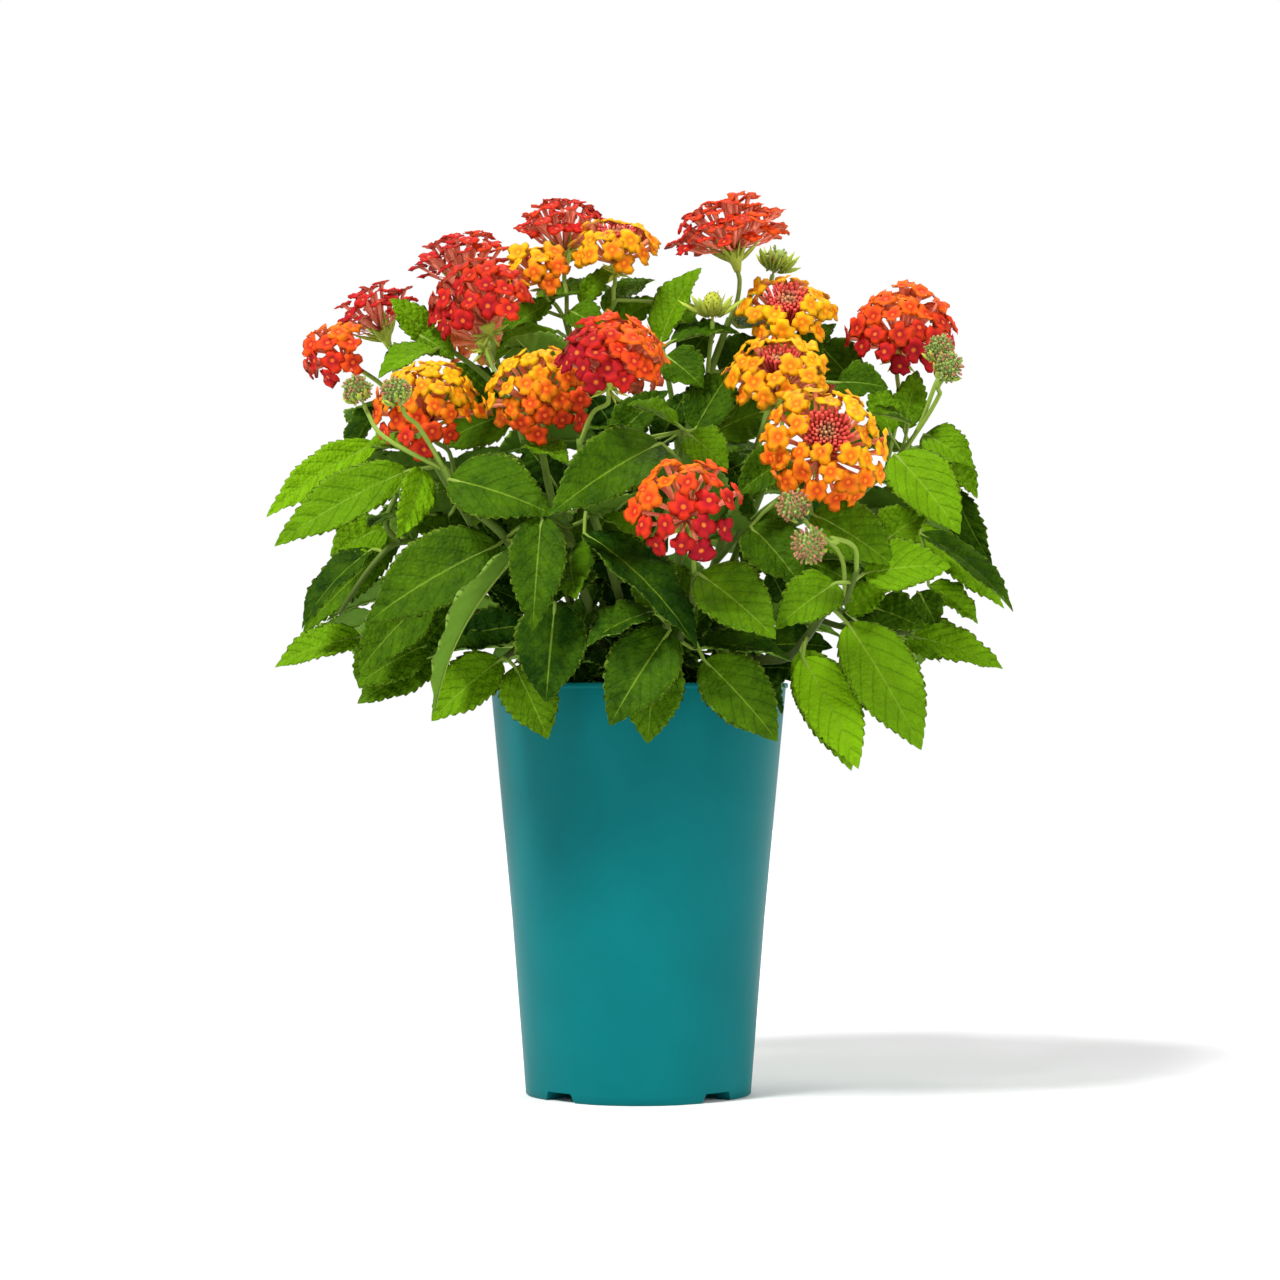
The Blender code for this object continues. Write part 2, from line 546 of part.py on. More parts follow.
def stitch(bm, rib, edge, flipped):
    """Triangles between two rows of (station, corner) that end in the same corner."""
    i, j = 0, 0
    while i < len(rib) - 1 or j < len(edge) - 1:
        next_rib = j == len(edge) - 1 or (i < len(rib) - 1 and rib[i + 1][0] < edge[j + 1][0])
        new = rib[i + 1][1] if next_rib else edge[j + 1][1]
        corners = (rib[i][1], new, edge[j][1])
        if len(set(corners)) == 3:
            bm.faces.new(corners[::-1] if flipped else corners)
        i, j = (i + 1, j) if next_rib else (i, j + 1)


def leaf(start, base, axes, half):
    """A toothed blade on its stalk, which starts in the middle of its branch.

    The stalk is three-sided and opens out into the blade, whose two faces are split alike and meet
    along the toothed edge.
    """
    bm = bmesh.new()
    length, along, across, normal = axes
    teeth = max(round(length / MM / TOOTH_PITCH), 2)
    outline = []
    for tooth in range(teeth):
        outline.append(((tooth + 0.25) / (teeth + 0.35), 1 - TOOTH_DEPTH))
        outline.append(((tooth + 0.9) / (teeth + 0.35), 1))
    ahead = (base - start).normalized()
    over = normal - ahead * normal.dot(ahead)
    over = (over if over.length > 0.3 else ahead * along.dot(ahead) - along).normalized()
    aside = over.cross(ahead)
    foot = start - ahead * ROOT_PAST * MM
    root_ways = (over, aside - over / 2, -aside - over / 2)
    root = [bm.verts.new(foot + way * ROOT_RADIUS * MM) for way in root_ways]
    neck = [bm.verts.new(base + way * PETIOLE_RADIUS * MM) for way in (normal, across, -across)]
    for k in range(3):
        bm.faces.new((root[k], root[k - 1], neck[k - 1], neck[k]))
    bm.faces.new(root)
    end = bm.verts.new(blade_point(base, axes, half, 1, 0))
    lift = normal * BLADE_THICKNESS / 2 * MM
    middles = [blade_point(base, axes, half, u, 0) for u in MIDRIB_STATIONS]
    upper = [bm.verts.new(middle + lift) for middle in middles]
    under = [bm.verts.new(middle - lift) for middle in middles]
    stations = [0, *MIDRIB_STATIONS, 1]
    for side, corner in ((1, neck[1]), (-1, neck[2])):
        points = [bm.verts.new(blade_point(base, axes, half, u, v * side)) for u, v in outline]
        edge = list(zip([0, *[u for u, _ in outline], 1], [corner, *points, end]))
        stitch(bm, list(zip(stations, [neck[0], *upper, end])), edge, side < 0)
        stitch(bm, list(zip(stations, [corner, *under, end])), edge, side > 0)
    bm.faces.new((neck[2], neck[1], under[0]))
    return bm


def back_along(path, distance):
    """The point that far back along a path from its end, and the way the path runs there."""
    for low, high in zip(path[-2::-1], path[:0:-1]):
        step = high - low
        if distance < step.length:
            break
        distance -= step.length
    return high - step.normalized() * distance, step.normalized()


def nearest_on(paths, place):
    """The nearest point of a stem's centre lines."""
    found = []
    for path in paths:
        for low, high in zip(path, path[1:]):
            point, share = intersect_point_line(place, low, high)
            found.append(low.lerp(high, min(max(share, 0.08), 0.92)))
    return min(found, key=lambda point: (point - place).length)


# Blooms
def bloom_seat(centre, looks, radius):
    """The end of the stalk, a gap short of the pole of what it carries."""
    return centre - looks * (radius + GAP) * MM


def floret(middle, looks, radius, foot, turn):
    """A trumpet with four rounded lobes that tapers to its foot inside the receptacle."""
    bm = bmesh.new()
    side = looks.orthogonal().normalized()
    over = looks.cross(side)
    ring = []
    for k in range(2 * FLORET_LOBES):
        angle = turn + math.pi * k / FLORET_LOBES
        out = radius * (1 if k % 2 == 0 else FLORET_NOTCH)
        ring.append(bm.verts.new(middle + (side * math.cos(angle) + over * math.sin(angle)) * out))
    throat = bm.verts.new(middle + looks * radius * FLORET_RISE)
    end = bm.verts.new(foot)
    for k in range(0, len(ring), 2):
        notch, lobe, after = ring[k - 1], ring[k], ring[k + 1]
        bm.faces.new((throat, notch, lobe))
        bm.faces.new((throat, lobe, after))
        bm.faces.new((notch, after, lobe))
        bm.faces.new((end, after, notch))
    return bm


def bloom_shapes(centre, reach, spread, looks, florets, core_share, seed):
    """The receptacle and its florets, spread over a cap by the golden angle."""
    draw = random.Random(seed)
    side = looks.orthogonal().normalized()
    over = looks.cross(side)
    core = bmesh.new()
    bmesh.ops.create_uvsphere(core, u_segments=RECEPTACLE_SIDES, v_segments=3,
                              radius=reach * core_share * MM)
    upright = Vector((0, 0, 1)).rotation_difference(looks).to_matrix().to_4x4()
    bmesh.ops.transform(core, matrix=Matrix.Translation(centre) @ upright, verts=core.verts)
    shapes = [core]
    limit = 1 - math.cos(math.radians(spread))
    radius = FLORET_SHARE * math.sqrt(limit * 2 * math.pi / florets) * reach * MM
    for index in range(florets):
        lean = math.acos(1 - limit * (index + 0.5) / florets)
        turn = index * GOLDEN_ANGLE + seed
        out = looks * math.cos(lean) + (side * math.cos(turn) + over * math.sin(turn)) * math.sin(lean)
        far = reach * (1 + draw.uniform(-0.05, 0.03)) * MM
        foot = centre + out * reach * FLORET_FOOT * MM
        shapes.append(floret(centre + out * far, out, radius, foot, draw.uniform(0, 1.5)))
    return shapes


def bud_head(centre, radius, looks):
    """A ball of closed buds: knobs raised on a round head."""
    bm = bmesh.new()
    bmesh.ops.create_icosphere(bm, subdivisions=2, radius=radius * MM)
    for corner in bm.verts:
        if len(corner.link_edges) > 5:
            corner.co *= KNOB_DIP
    foot = min(bm.verts, key=lambda corner: corner.co.z)
    foot.co = Vector((0, 0, -radius * MM))
    upright = Vector((0, 0, 1)).rotation_difference(looks).to_matrix().to_4x4()
    bmesh.ops.transform(bm, matrix=Matrix.Translation(centre) @ upright, verts=bm.verts)
    return bm


def stalk_tube(points, seat, looks):
    """A flower or bud stalk that meets its head squarely."""
    path = [*[real_place(place) for place in points], seat - looks * STALK_LEAD * MM, seat]
    return tube(path, STALK_RADIUS, STALK_RADIUS, STALK_SIDES)


green = material("stem_green", (0.12, 0.22, 0.03), 0.6)
bud_green = material("bud_green", (0.25, 0.3, 0.08), 0.7)
stem_paths = {name: branch_paths(name) for name in BRANCHES}
stem_shapes = {}
for name, paths in stem_paths.items():
    stem_shapes[name] = [tube(paths[0], TRUNK_RADIUS, TRUNK_TIP_RADIUS, STEM_SIDES)]
    for path in paths[1:]:
        stem_shapes[name].append(tube(path, BRANCH_RADIUS, BRANCH_TIP_RADIUS, STEM_SIDES))

placed = []
for number, (name, stem, stalk, centre, reach, spread, looks, florets, share, colour) in enumerate(BLOOMS):
    looks = Vector(looks).normalized()
    middle = real_place(centre)
    seat = bloom_seat(middle, looks, reach * share)
    stem_shapes[stem].append(stalk_tube(stalk, seat, looks))
    shapes = bloom_shapes(middle, reach, spread, looks, florets, share, number)
    placed += [(name, BVHTree.FromBMesh(shape)) for shape in shapes]
    fused(name, shapes, material(name + "_petals", colour, 0.5))

for name, stem, stalk, centre, radius, looks in BUD_HEADS:
    looks = Vector(looks).normalized()
    middle = real_place(centre)
    seat = bloom_seat(middle, looks, radius)
    stem_shapes[stem].append(stalk_tube(stalk, seat, looks))
    head = bud_head(middle, radius, looks)
    placed.append((name, BVHTree.FromBMesh(head)))
    object_from(head, name, bud_green)

for name, shapes in stem_shapes.items():
    placed += [(name, BVHTree.FromBMesh(shape)) for shape in shapes]


def pair_of_leaves(stem, point, ahead, draw):
    """Rows for two opposite leaves that droop outwards from a point of a branch."""
    outwards = Vector((point.x, point.y, 0)).normalized()
    sideways = ahead.cross(Vector((0, 0, 1))).normalized()
    rows = []
    for side in (1, -1):
        droop = Vector((0, 0, draw.uniform(-0.5, 0.1)))
        aim = outwards * draw.uniform(0.4, 0.9) + sideways * side + ahead * 0.3 + droop
        aim.normalize()
        base = point + aim * draw.uniform(9, 14) * MM
        length = draw.uniform(46, 62)
        facing = outwards * 0.5 + Vector((0, 0, 1))
        rows.append((stem, base, base + aim * length * MM, length * PAIR_WIDTH, facing))
    return rows


def hidden_leaves():
    """Leaves of the far side, in pairs near each branch's tip, and of the middle, along the trunks."""
    draw = random.Random(HIDDEN_SEED)
    rows = []
    for stem in [stem for stem in BRANCHES if stem.startswith("stem_back")]:
        for number, path in enumerate(stem_paths[stem]):
            ahead = (path[-1] - path[-2]).normalized()
            for back in BACK_TRUNK_STEPS if number == 0 else BACK_BRANCH_STEPS:
                rows += pair_of_leaves(stem, path[-1] - ahead * back * MM, ahead, draw)
    for stem, steps in INNER_STEPS.items():
        for back in steps:
            point, ahead = back_along(stem_paths[stem][0], back * MM)
            rows += pair_of_leaves(stem, point, ahead, draw)
    return rows


front_leaves = []
for stem, base, tip, half, facing in LEAVES:
    front_leaves.append((stem, real_place(base), real_place(tip), half, facing))
for stem, base, tip, half, facing in front_leaves + hidden_leaves():
    start = nearest_on(stem_paths[stem], base)
    free = []
    for order, bend in enumerate(BENDS):
        axes = blade_axes(base, tip, facing, bend)
        shape = leaf(start, base, axes, half)
        probe = BVHTree.FromBMesh(shape, epsilon=BEND_CLEARANCE * MM)
        crossed = {name for name, tree in placed if probe.overlap(tree)}
        if not crossed - {stem}:
            own = sum(bool(probe.overlap(tree)) for name, tree in placed if name == stem)
            free.append((own * CROSSING_COST + order, order, shape))
    if free:
        shape = min(free)[2]
        stem_shapes[stem].append(shape)
        placed.append((stem, BVHTree.FromBMesh(shape)))

for name, shapes in stem_shapes.items():
    fused(name, shapes, green)

# Soil
soil_profile = [
    (0, POT_FLOOR + GAP),
    (pot_radius(POT_FLOOR) - POT_WALL - GAP, POT_FLOOR + GAP),
    (pot_radius(POT_KINK_HEIGHT) - POT_WALL - GAP, POT_KINK_HEIGHT),
    (pot_radius(SOIL_TOP) - POT_WALL - GAP, SOIL_TOP),
    (0, SOIL_TOP),
]
dark = material("soil_dark", (0.03, 0.02, 0.015), 0.95)
soil = object_from(turned(soil_profile, POT_SIDES), "soil", dark)
holes = bmesh.new()
hole_radius = (TRUNK_RADIUS + 2 * GAP) * MM
for paths in stem_paths.values():
    foot = paths[0][0]
    place = Matrix.Translation((foot.x, foot.y, SOIL_TOP * MM))
    bmesh.ops.create_cone(holes, cap_ends=True, segments=STEM_SIDES, radius1=hole_radius,
                          radius2=hole_radius, depth=2 * HOLE_DEPTH * MM, matrix=place)
cutter(holes, "soil_holes", soil)

for made in bpy.data.objects:
    if made.name in ("pot", "soil"):
        made.data.shade_smooth()
        made.data.set_sharp_from_angle(angle=math.radians(40))
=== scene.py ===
"""The potted lantana as the photograph shows it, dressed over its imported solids."""

import math
import random

import bmesh
import bpy
from mathutils import Matrix, Vector, noise
from mathutils.geometry import interpolate_bezier
from mathutils.kdtree import KDTree


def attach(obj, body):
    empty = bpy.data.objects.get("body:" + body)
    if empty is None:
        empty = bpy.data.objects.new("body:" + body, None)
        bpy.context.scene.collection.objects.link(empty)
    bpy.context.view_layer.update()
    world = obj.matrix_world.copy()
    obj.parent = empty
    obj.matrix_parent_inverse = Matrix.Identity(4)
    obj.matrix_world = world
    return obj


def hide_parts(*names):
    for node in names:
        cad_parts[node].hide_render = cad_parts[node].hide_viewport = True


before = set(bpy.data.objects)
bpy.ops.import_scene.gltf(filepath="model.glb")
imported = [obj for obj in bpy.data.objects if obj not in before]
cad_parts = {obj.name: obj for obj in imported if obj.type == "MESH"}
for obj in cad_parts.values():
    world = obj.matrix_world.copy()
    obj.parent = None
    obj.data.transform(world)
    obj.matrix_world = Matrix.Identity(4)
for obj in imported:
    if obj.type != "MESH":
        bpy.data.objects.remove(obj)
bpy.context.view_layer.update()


# Pot: a tall tapered nursery pot, moulded in one piece from teal plastic with a satin skin. Its foot
# is pulled in above four drainage notches, four holes drain the floor, and a lip stiffens the rim.
MM = 0.001
POT_SIDES = 128
POT_HEIGHT = 181.5
POT_FOOT_RADIUS = 49.8
POT_KINK_RADIUS = 55.9
POT_KINK_HEIGHT = 78
POT_TOP_RADIUS = 65.6
POT_WALL = 1.3
POT_FLOOR = 6.5
FOOT_ROUND = 0.6
UNDERSIDE_RING = 25
LIP_OUT = 0.8
LIP_HEIGHT = 2.5
CHANNEL_COUNT = 4
CHANNEL_HALF_WIDTH = 10
CHANNEL_SLOPE = 3
CHANNEL_HEIGHT = 4.0
CHANNEL_START = 22
DRAIN_RADIUS = 4.5
DRAIN_OUT = 36
DRAIN_SIDES = 24
RECESS_DEPTH = 1.3
RECESS_HEIGHT = 36
RECESS_HALF_ANGLE = 26
CHANNEL_TURN = 45
CUTTER_PAST = 5
CUTTER_BELOW = 2
MOULDED_ROUND = 0.3
SHARP_ANGLE = math.radians(50)
TEAL = (0.0008, 0.165, 0.175)
TEAL_DEEP = (0.0005, 0.12, 0.13)


def pot_radius(height):
    """The outside of the pot's wall: it widens slowly to the kink and faster above it."""
    if height < POT_KINK_HEIGHT:
        return POT_FOOT_RADIUS + (POT_KINK_RADIUS - POT_FOOT_RADIUS) * height / POT_KINK_HEIGHT
    share = (height - POT_KINK_HEIGHT) / (POT_HEIGHT - POT_KINK_HEIGHT)
    return POT_KINK_RADIUS + (POT_TOP_RADIUS - POT_KINK_RADIUS) * share


def turned(profile, sides):
    """A solid turned about the pot's axis from (radius, height) points, in millimetres."""
    bm = bmesh.new()
    points = [bm.verts.new((radius * MM, 0, height * MM)) for radius, height in profile]
    edges = [bm.edges.new(pair) for pair in zip(points, points[1:])]
    bmesh.ops.spin(bm, geom=points + edges, cent=(0, 0, 0), axis=(0, 0, 1), dvec=(0, 0, 0),
                   angle=2 * math.pi, steps=sides, use_merge=True, use_duplicate=False)
    bmesh.ops.remove_doubles(bm, verts=bm.verts, dist=1e-6)
    bmesh.ops.recalc_face_normals(bm, faces=bm.faces)
    return bm


def finished(bm, name, looks):
    """The object of a finished shape, smooth, with its materials in order."""
    mesh = bpy.data.meshes.new(name)
    bm.to_mesh(mesh)
    bm.free()
    for look in looks:
        mesh.materials.append(look)
    mesh.shade_smooth()
    made = bpy.data.objects.new(name, mesh)
    bpy.context.scene.collection.objects.link(made)
    return made


def node(tree, kind, place, **values):
    """A shader node with its sockets or settings filled in."""
    made = tree.nodes.new(kind)
    made.location = place
    for key, value in values.items():
        socket = key.replace("_", " ")
        if socket in made.inputs:
            made.inputs[socket].default_value = value
        else:
            setattr(made, key, value)
    return made


def wire(tree, *runs):
    """Links between shader nodes, each from a node's output to another node's input."""
    for giver, output, taker, socket in runs:
        tree.links.new(giver.outputs[output], taker.inputs[socket])


def plain_look(name, colour, roughness, **shades):
    """A material, its tree and its Principled shader, ready for its pattern."""
    made = bpy.data.materials.new(name)
    made.use_nodes = True
    made.diffuse_color = (*colour, 1)
    shader = made.node_tree.nodes["Principled BSDF"]
    shader.inputs["Base Color"].default_value = (*colour, 1)
    shader.inputs["Roughness"].default_value = roughness
    for socket, value in shades.items():
        shader.inputs[socket.replace("_", " ")].default_value = value
    return made, made.node_tree, shader


lip_base = POT_HEIGHT - LIP_HEIGHT
foot_heights = [0, 0.5, 4, 8, 14, 20, 27, RECESS_HEIGHT]
kink_heights = [POT_KINK_HEIGHT - 4, POT_KINK_HEIGHT, POT_KINK_HEIGHT + 4]
wall_heights = [50, 64, *kink_heights, 100, 130, 160, lip_base]
pot_profile = [(0, 0), (UNDERSIDE_RING, 0), (pot_radius(0) - FOOT_ROUND, 0)]
pot_profile += [(pot_radius(height), height) for height in foot_heights[1:] + wall_heights]
pot_profile += [
    (POT_TOP_RADIUS + LIP_OUT * 0.8, lip_base + LIP_OUT * 0.6),
    (POT_TOP_RADIUS + LIP_OUT, lip_base + LIP_OUT * 1.2),
    (POT_TOP_RADIUS + LIP_OUT, POT_HEIGHT - 0.4),
    (POT_TOP_RADIUS + LIP_OUT * 0.5, POT_HEIGHT),
    (POT_TOP_RADIUS - POT_WALL + 0.4, POT_HEIGHT),
    (POT_TOP_RADIUS - POT_WALL, POT_HEIGHT - 0.5),
    (pot_radius(POT_KINK_HEIGHT) - POT_WALL, POT_KINK_HEIGHT),
    (pot_radius(POT_FLOOR) - POT_WALL, POT_FLOOR),
    (0, POT_FLOOR),
]
pot_shape = turned(pot_profile, POT_SIDES)
for corner in pot_shape.verts:
    height = corner.co.z / MM
    across = math.hypot(corner.co.x, corner.co.y) / MM
    if height > RECESS_HEIGHT or across < pot_radius(height) - POT_WALL / 2 or height == POT_FLOOR:
        continue
    angle = math.degrees(math.atan2(corner.co.y, corner.co.x)) % (360 / CHANNEL_COUNT) - CHANNEL_TURN
    share = max(0, 1 - (angle / RECESS_HALF_ANGLE) ** 2)
    inwards = RECESS_DEPTH * share * (1 - height / RECESS_HEIGHT) ** 1.3
    corner.co.xy *= 1 - inwards / across

pot_look, tree, shader = plain_look("pot_satin_teal", TEAL, 0.42, Specular_IOR_Level=0.06)
place = node(tree, "ShaderNodeTexCoord", (-900, 0))
cloud = node(tree, "ShaderNodeTexNoise", (-700, 100), Scale=26, Detail=3)
skin = node(tree, "ShaderNodeTexNoise", (-700, -200), Scale=900, Detail=2)
tint = node(tree, "ShaderNodeMix", (-400, 100), data_type="RGBA", A=(*TEAL_DEEP, 1), B=(*TEAL, 1))
grain = node(tree, "ShaderNodeBump", (-400, -200), Strength=0.06, Distance=0.0004)
gloss = node(tree, "ShaderNodeMapRange", (-400, -450), To_Min=0.36, To_Max=0.48)
wire(
    tree,
    (place, "Object", cloud, "Vector"),
    (place, "Object", skin, "Vector"),
    (cloud, "Fac", tint, "Factor"),
    (cloud, "Fac", gloss, "Value"),
    (tint, "Result", shader, "Base Color"),
    (gloss, "Result", shader, "Roughness"),
    (skin, "Fac", grain, "Height"),
    (grain, "Normal", shader, "Normal"),
)

pot = finished(pot_shape, "potted_wall", [pot_look])
channels = bmesh.new()
drains = bmesh.new()
for number in range(CHANNEL_COUNT):
    turn = Matrix.Rotation(math.radians(CHANNEL_TURN + 360 / CHANNEL_COUNT * number), 4, "Z")
    reach = POT_FOOT_RADIUS + CUTTER_PAST - CHANNEL_START
    made = bmesh.ops.create_cube(channels, size=1)["verts"]
    for corner in made:
        upper = corner.co.z > 0
        half = CHANNEL_HALF_WIDTH - (CHANNEL_SLOPE if upper else 0)
        corner.co = Vector((
            CHANNEL_START + (corner.co.x + 0.5) * reach,
            math.copysign(half, corner.co.y),
            CHANNEL_HEIGHT if upper else -CUTTER_BELOW,
        )) * MM
    bmesh.ops.transform(channels, matrix=turn, verts=made)
    spot = turn @ Matrix.Translation((DRAIN_OUT * MM, 0, POT_FLOOR / 2 * MM))
    bmesh.ops.create_cone(drains, cap_ends=True, segments=DRAIN_SIDES, radius1=DRAIN_RADIUS * MM,
                          radius2=DRAIN_RADIUS * MM, depth=POT_FLOOR * 2 * MM, matrix=spot)
for name, shape in (("pot_channels", channels), ("pot_drains", drains)):
    tool = finished(shape, name, [pot_look])
    cut = pot.modifiers.new(name, "BOOLEAN")
    cut.operation = "DIFFERENCE"
    cut.object = tool
    graph = bpy.context.evaluated_depsgraph_get()
    cut_mesh = bpy.data.meshes.new_from_object(pot.evaluated_get(graph))
    pot.modifiers.clear()
    pot.data = cut_mesh
    bpy.data.objects.remove(tool)
soften = pot.modifiers.new("Moulded edges", "BEVEL")
soften.width = MOULDED_ROUND * MM
soften.segments = 2
soften.limit_method = "ANGLE"
soften.angle_limit = SHARP_ANGLE
pot.data.shade_smooth()
pot.data.set_sharp_from_angle(angle=SHARP_ANGLE)
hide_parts("pot")
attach(pot, "root")


# Soil: a dark peat mix with crumbs of bark and white perlite, poured in to a finger's width below the
# rim. Its top is loose and uneven, and the stems stand in it.
SOIL_TOP = 171
HOLE_DEPTH = 24
GAP = 0.3
SOIL_RINGS = 26
SOIL_SIDES = 96
CRUMB_SEED = 5
CRUMB_COUNT = 420
CRUMB_SIZES = (0.7, 2.0)
CRUMB_STRETCHES = [(0.7, 1.8), (0.6, 1), (0.5, 0.9)]
CRUMB_ROUGHNESS = 0.15
EDGE_CLEAR = 3
SOIL_SINK = 1.6
HUMP_SCALE = 90
HUMP_HEIGHT = 1.3
GRAIN_SCALE = 420
GRAIN_HEIGHT = 0.8
PERLITE_SHARE = 0.08
BARK_SHARE = 0.5
PEAT = (0.016, 0.010, 0.007)
BARK = (0.055, 0.030, 0.017)
PERLITE = (0.62, 0.60, 0.55)

soil_radius = pot_radius(SOIL_TOP) - POT_WALL - GAP
soil_profile = [
    (0, POT_FLOOR + GAP),
    (pot_radius(POT_FLOOR) - POT_WALL - GAP, POT_FLOOR + GAP),
    (pot_radius(POT_KINK_HEIGHT) - POT_WALL - GAP, POT_KINK_HEIGHT),
    *[(soil_radius * (1 - ring / SOIL_RINGS), SOIL_TOP) for ring in range(SOIL_RINGS)],
    (0, SOIL_TOP),
]
soil_shape = turned(soil_profile, SOIL_SIDES)
shade = soil_shape.verts.layers.float_color.new("crumb")
draw = random.Random(CRUMB_SEED)


def ground_height(x, y):
    """The uneven top of the soil at a place, in metres."""
    humps = noise.noise(Vector((x, y, 0)) * HUMP_SCALE)
    grains = noise.noise(Vector((x, y, 3)) * GRAIN_SCALE)
    return (SOIL_TOP - SOIL_SINK + humps * HUMP_HEIGHT + grains * GRAIN_HEIGHT) * MM


for corner in soil_shape.verts:
    corner[shade] = (*PEAT, 1)
    if corner.co.z > (SOIL_TOP - 1) * MM:
        corner.co.z = ground_height(corner.co.x, corner.co.y)
for number in range(CRUMB_COUNT):
    turn = draw.uniform(0, 2 * math.pi)
    out = (soil_radius - EDGE_CLEAR) * MM * math.sqrt(draw.random())
    size = draw.uniform(*CRUMB_SIZES) * MM
    spot = Vector((out * math.cos(turn), out * math.sin(turn), 0))
    spot.z = ground_height(spot.x, spot.y)
    tilt = Matrix.Rotation(draw.uniform(0, 6), 4, Vector((draw.random(), draw.random(), 0.4)))
    stretch = Matrix.Diagonal((*[draw.uniform(*span) for span in CRUMB_STRETCHES], 1))
    lump = bmesh.ops.create_icosphere(soil_shape, subdivisions=1, radius=size,
                                      matrix=Matrix.Translation(spot) @ tilt @ stretch)["verts"]
    colour = PERLITE if draw.random() < PERLITE_SHARE else BARK if draw.random() < BARK_SHARE else PEAT
    for corner in lump:
        corner[shade] = (*colour, 1)
        corner.co += (corner.co - spot) * draw.uniform(-CRUMB_ROUGHNESS, CRUMB_ROUGHNESS)

soil_look, tree, shader = plain_look("peat_crumb", PEAT, 0.95)
crumb = node(tree, "ShaderNodeAttribute", (-700, 100), attribute_name="crumb")
place = node(tree, "ShaderNodeTexCoord", (-900, -200))
grit = node(tree, "ShaderNodeTexNoise", (-700, -200), Scale=700, Detail=6)
speckle = node(tree, "ShaderNodeMix", (-400, 100), data_type="RGBA", blend_type="MULTIPLY", Factor=0.6)
rough = node(tree, "ShaderNodeBump", (-400, -200), Strength=0.7, Distance=0.0012)
wire(
    tree,
    (place, "Object", grit, "Vector"),
    (crumb, "Color", speckle, "A"),
    (grit, "Color", speckle, "B"),
    (speckle, "Result", shader, "Base Color"),
    (grit, "Fac", rough, "Height"),
    (rough, "Normal", shader, "Normal"),
)
soil = finished(soil_shape, "crumbly_soil", [soil_look])
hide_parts("soil")
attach(soil, "root")


# Blooms: domed heads of small trumpet florets with four rounded lobes, borne on one green receptacle
# with narrow bracts. Florets open orange and age to crimson. Young heads are still in bud at the heart,
# and a few old ones that look up open as fans.
FLORET_RADIUS = 5.6
FLORET_SCATTER = (0.88, 1.1)
LOBE_LIFTS = (-0.4, 0.22)
RIM_SCATTER = (0.9, 1.08)
RUFFLE = 0.09
CREASE_DEPTH = 0.12
LIMB_START = 0.3
UPPER_FACE = 0.1
UNEVEN_LOBES = 0.12
# The lobes' edges shift to a younger, lighter colour as a painted highlight, and the seams between the
# lobes darken as painted shade
PAINTED_RIM_LIGHT = 0.08
PAINTED_SEAM_SHADE = 0.4
THROAT = 0.15
# The throat's own older, redder colour, darkened further as painted shade
THROAT_AGE = 0.25
THROAT_PAINTED_SHADE = 0.84
EYE_SHARE = 0.7
TUBE_SHARE = 0.8
LIGHTNESS = (0.86, 1.04)
TUBE_PROFILE = [(0.12, -1), (0.14, -0.5), (0.26, 0.1)]
LIMB_PROFILE = [(0.26, 0.04), (1, 0.17), (0.62, 0.24), (0.22, 0.14), (0.09, 0.12)]
LOBE_NOTCH = 0.26
TILT = 0.34
AGE_SCATTER = 0.07
RECEPTACLE = 0.1
BUD_AREA = 6.2
BUD_SIZE = 0.85
BUD_REACH = 0.62
BUD_RISE = 0.2
BUD_SCATTER = (0.96, 1.06)
HEART_SHADES = (0.6, 1.3)
BRACT_SIZE = 1.2
BRACT_HEIGHT = 0.35
BRACT_TURN = 2.4
BRACT_LENGTHS = (0.3, 0.45)
# How heads are built, by their reach: (height of the crown, width of the calyx, how far in the nearest
# floret stands, how far florets face outwards and along the stalk, floret size, how many bracts, how far
# they lean in degrees, how much longer they are). Heads that spread less than FAN_SPREAD are fans.
DOME = (0.12, 0.14, 0.82, 1, 0.2, 1, 10, (60, 120), 1)
FAN = (0.2, 0.17, 0.74, 0.5, 0.8, 0.85, 20, (14, 56), 1.5)
FAN_SPREAD = 77
FARTHEST = 0.98
CALYX_PROFILE = [(0.3, -1), (0.5, -0.6), (0.95, -0.2), (0.9, 0.1), (0.5, 0.3), (0, 0.35)]
BUD_PROFILE = [(0.4, -1), (0.6, -0.4), (1, 0), (0.95, 0.7), (0.4, 1.15), (0, 1.25)]
BRACT_PROFILE = [(0.3, -1), (1, -0.6), (0.85, -0.35), (0.08, 0)]
AGES = [
    (0.00, (1.00, 0.50, 0.003)),
    (0.25, (1.00, 0.27, 0.003)),
    (0.50, (0.92, 0.09, 0.005)),
    (0.75, (0.62, 0.014, 0.006)),
    (1.00, (0.38, 0.003, 0.014)),
]
EYE_COLOUR = (1.0, 0.26, 0.02)
TUBE_COLOUR = (1.00, 0.32, 0.20)
BUD_COLOUR = (0.68, 0.08, 0.06)
BUD_HEART = (0.36, 0.24, 0.10)
BRACT_GREEN = (0.44, 0.56, 0.07)
GOLDEN_ANGLE = math.radians(137.508)
# Where the plant is looked at from in its picture, in mm before the pot's axis and above its foot
VIEW_DISTANCE = 1500
VIEW_HEIGHT = 175

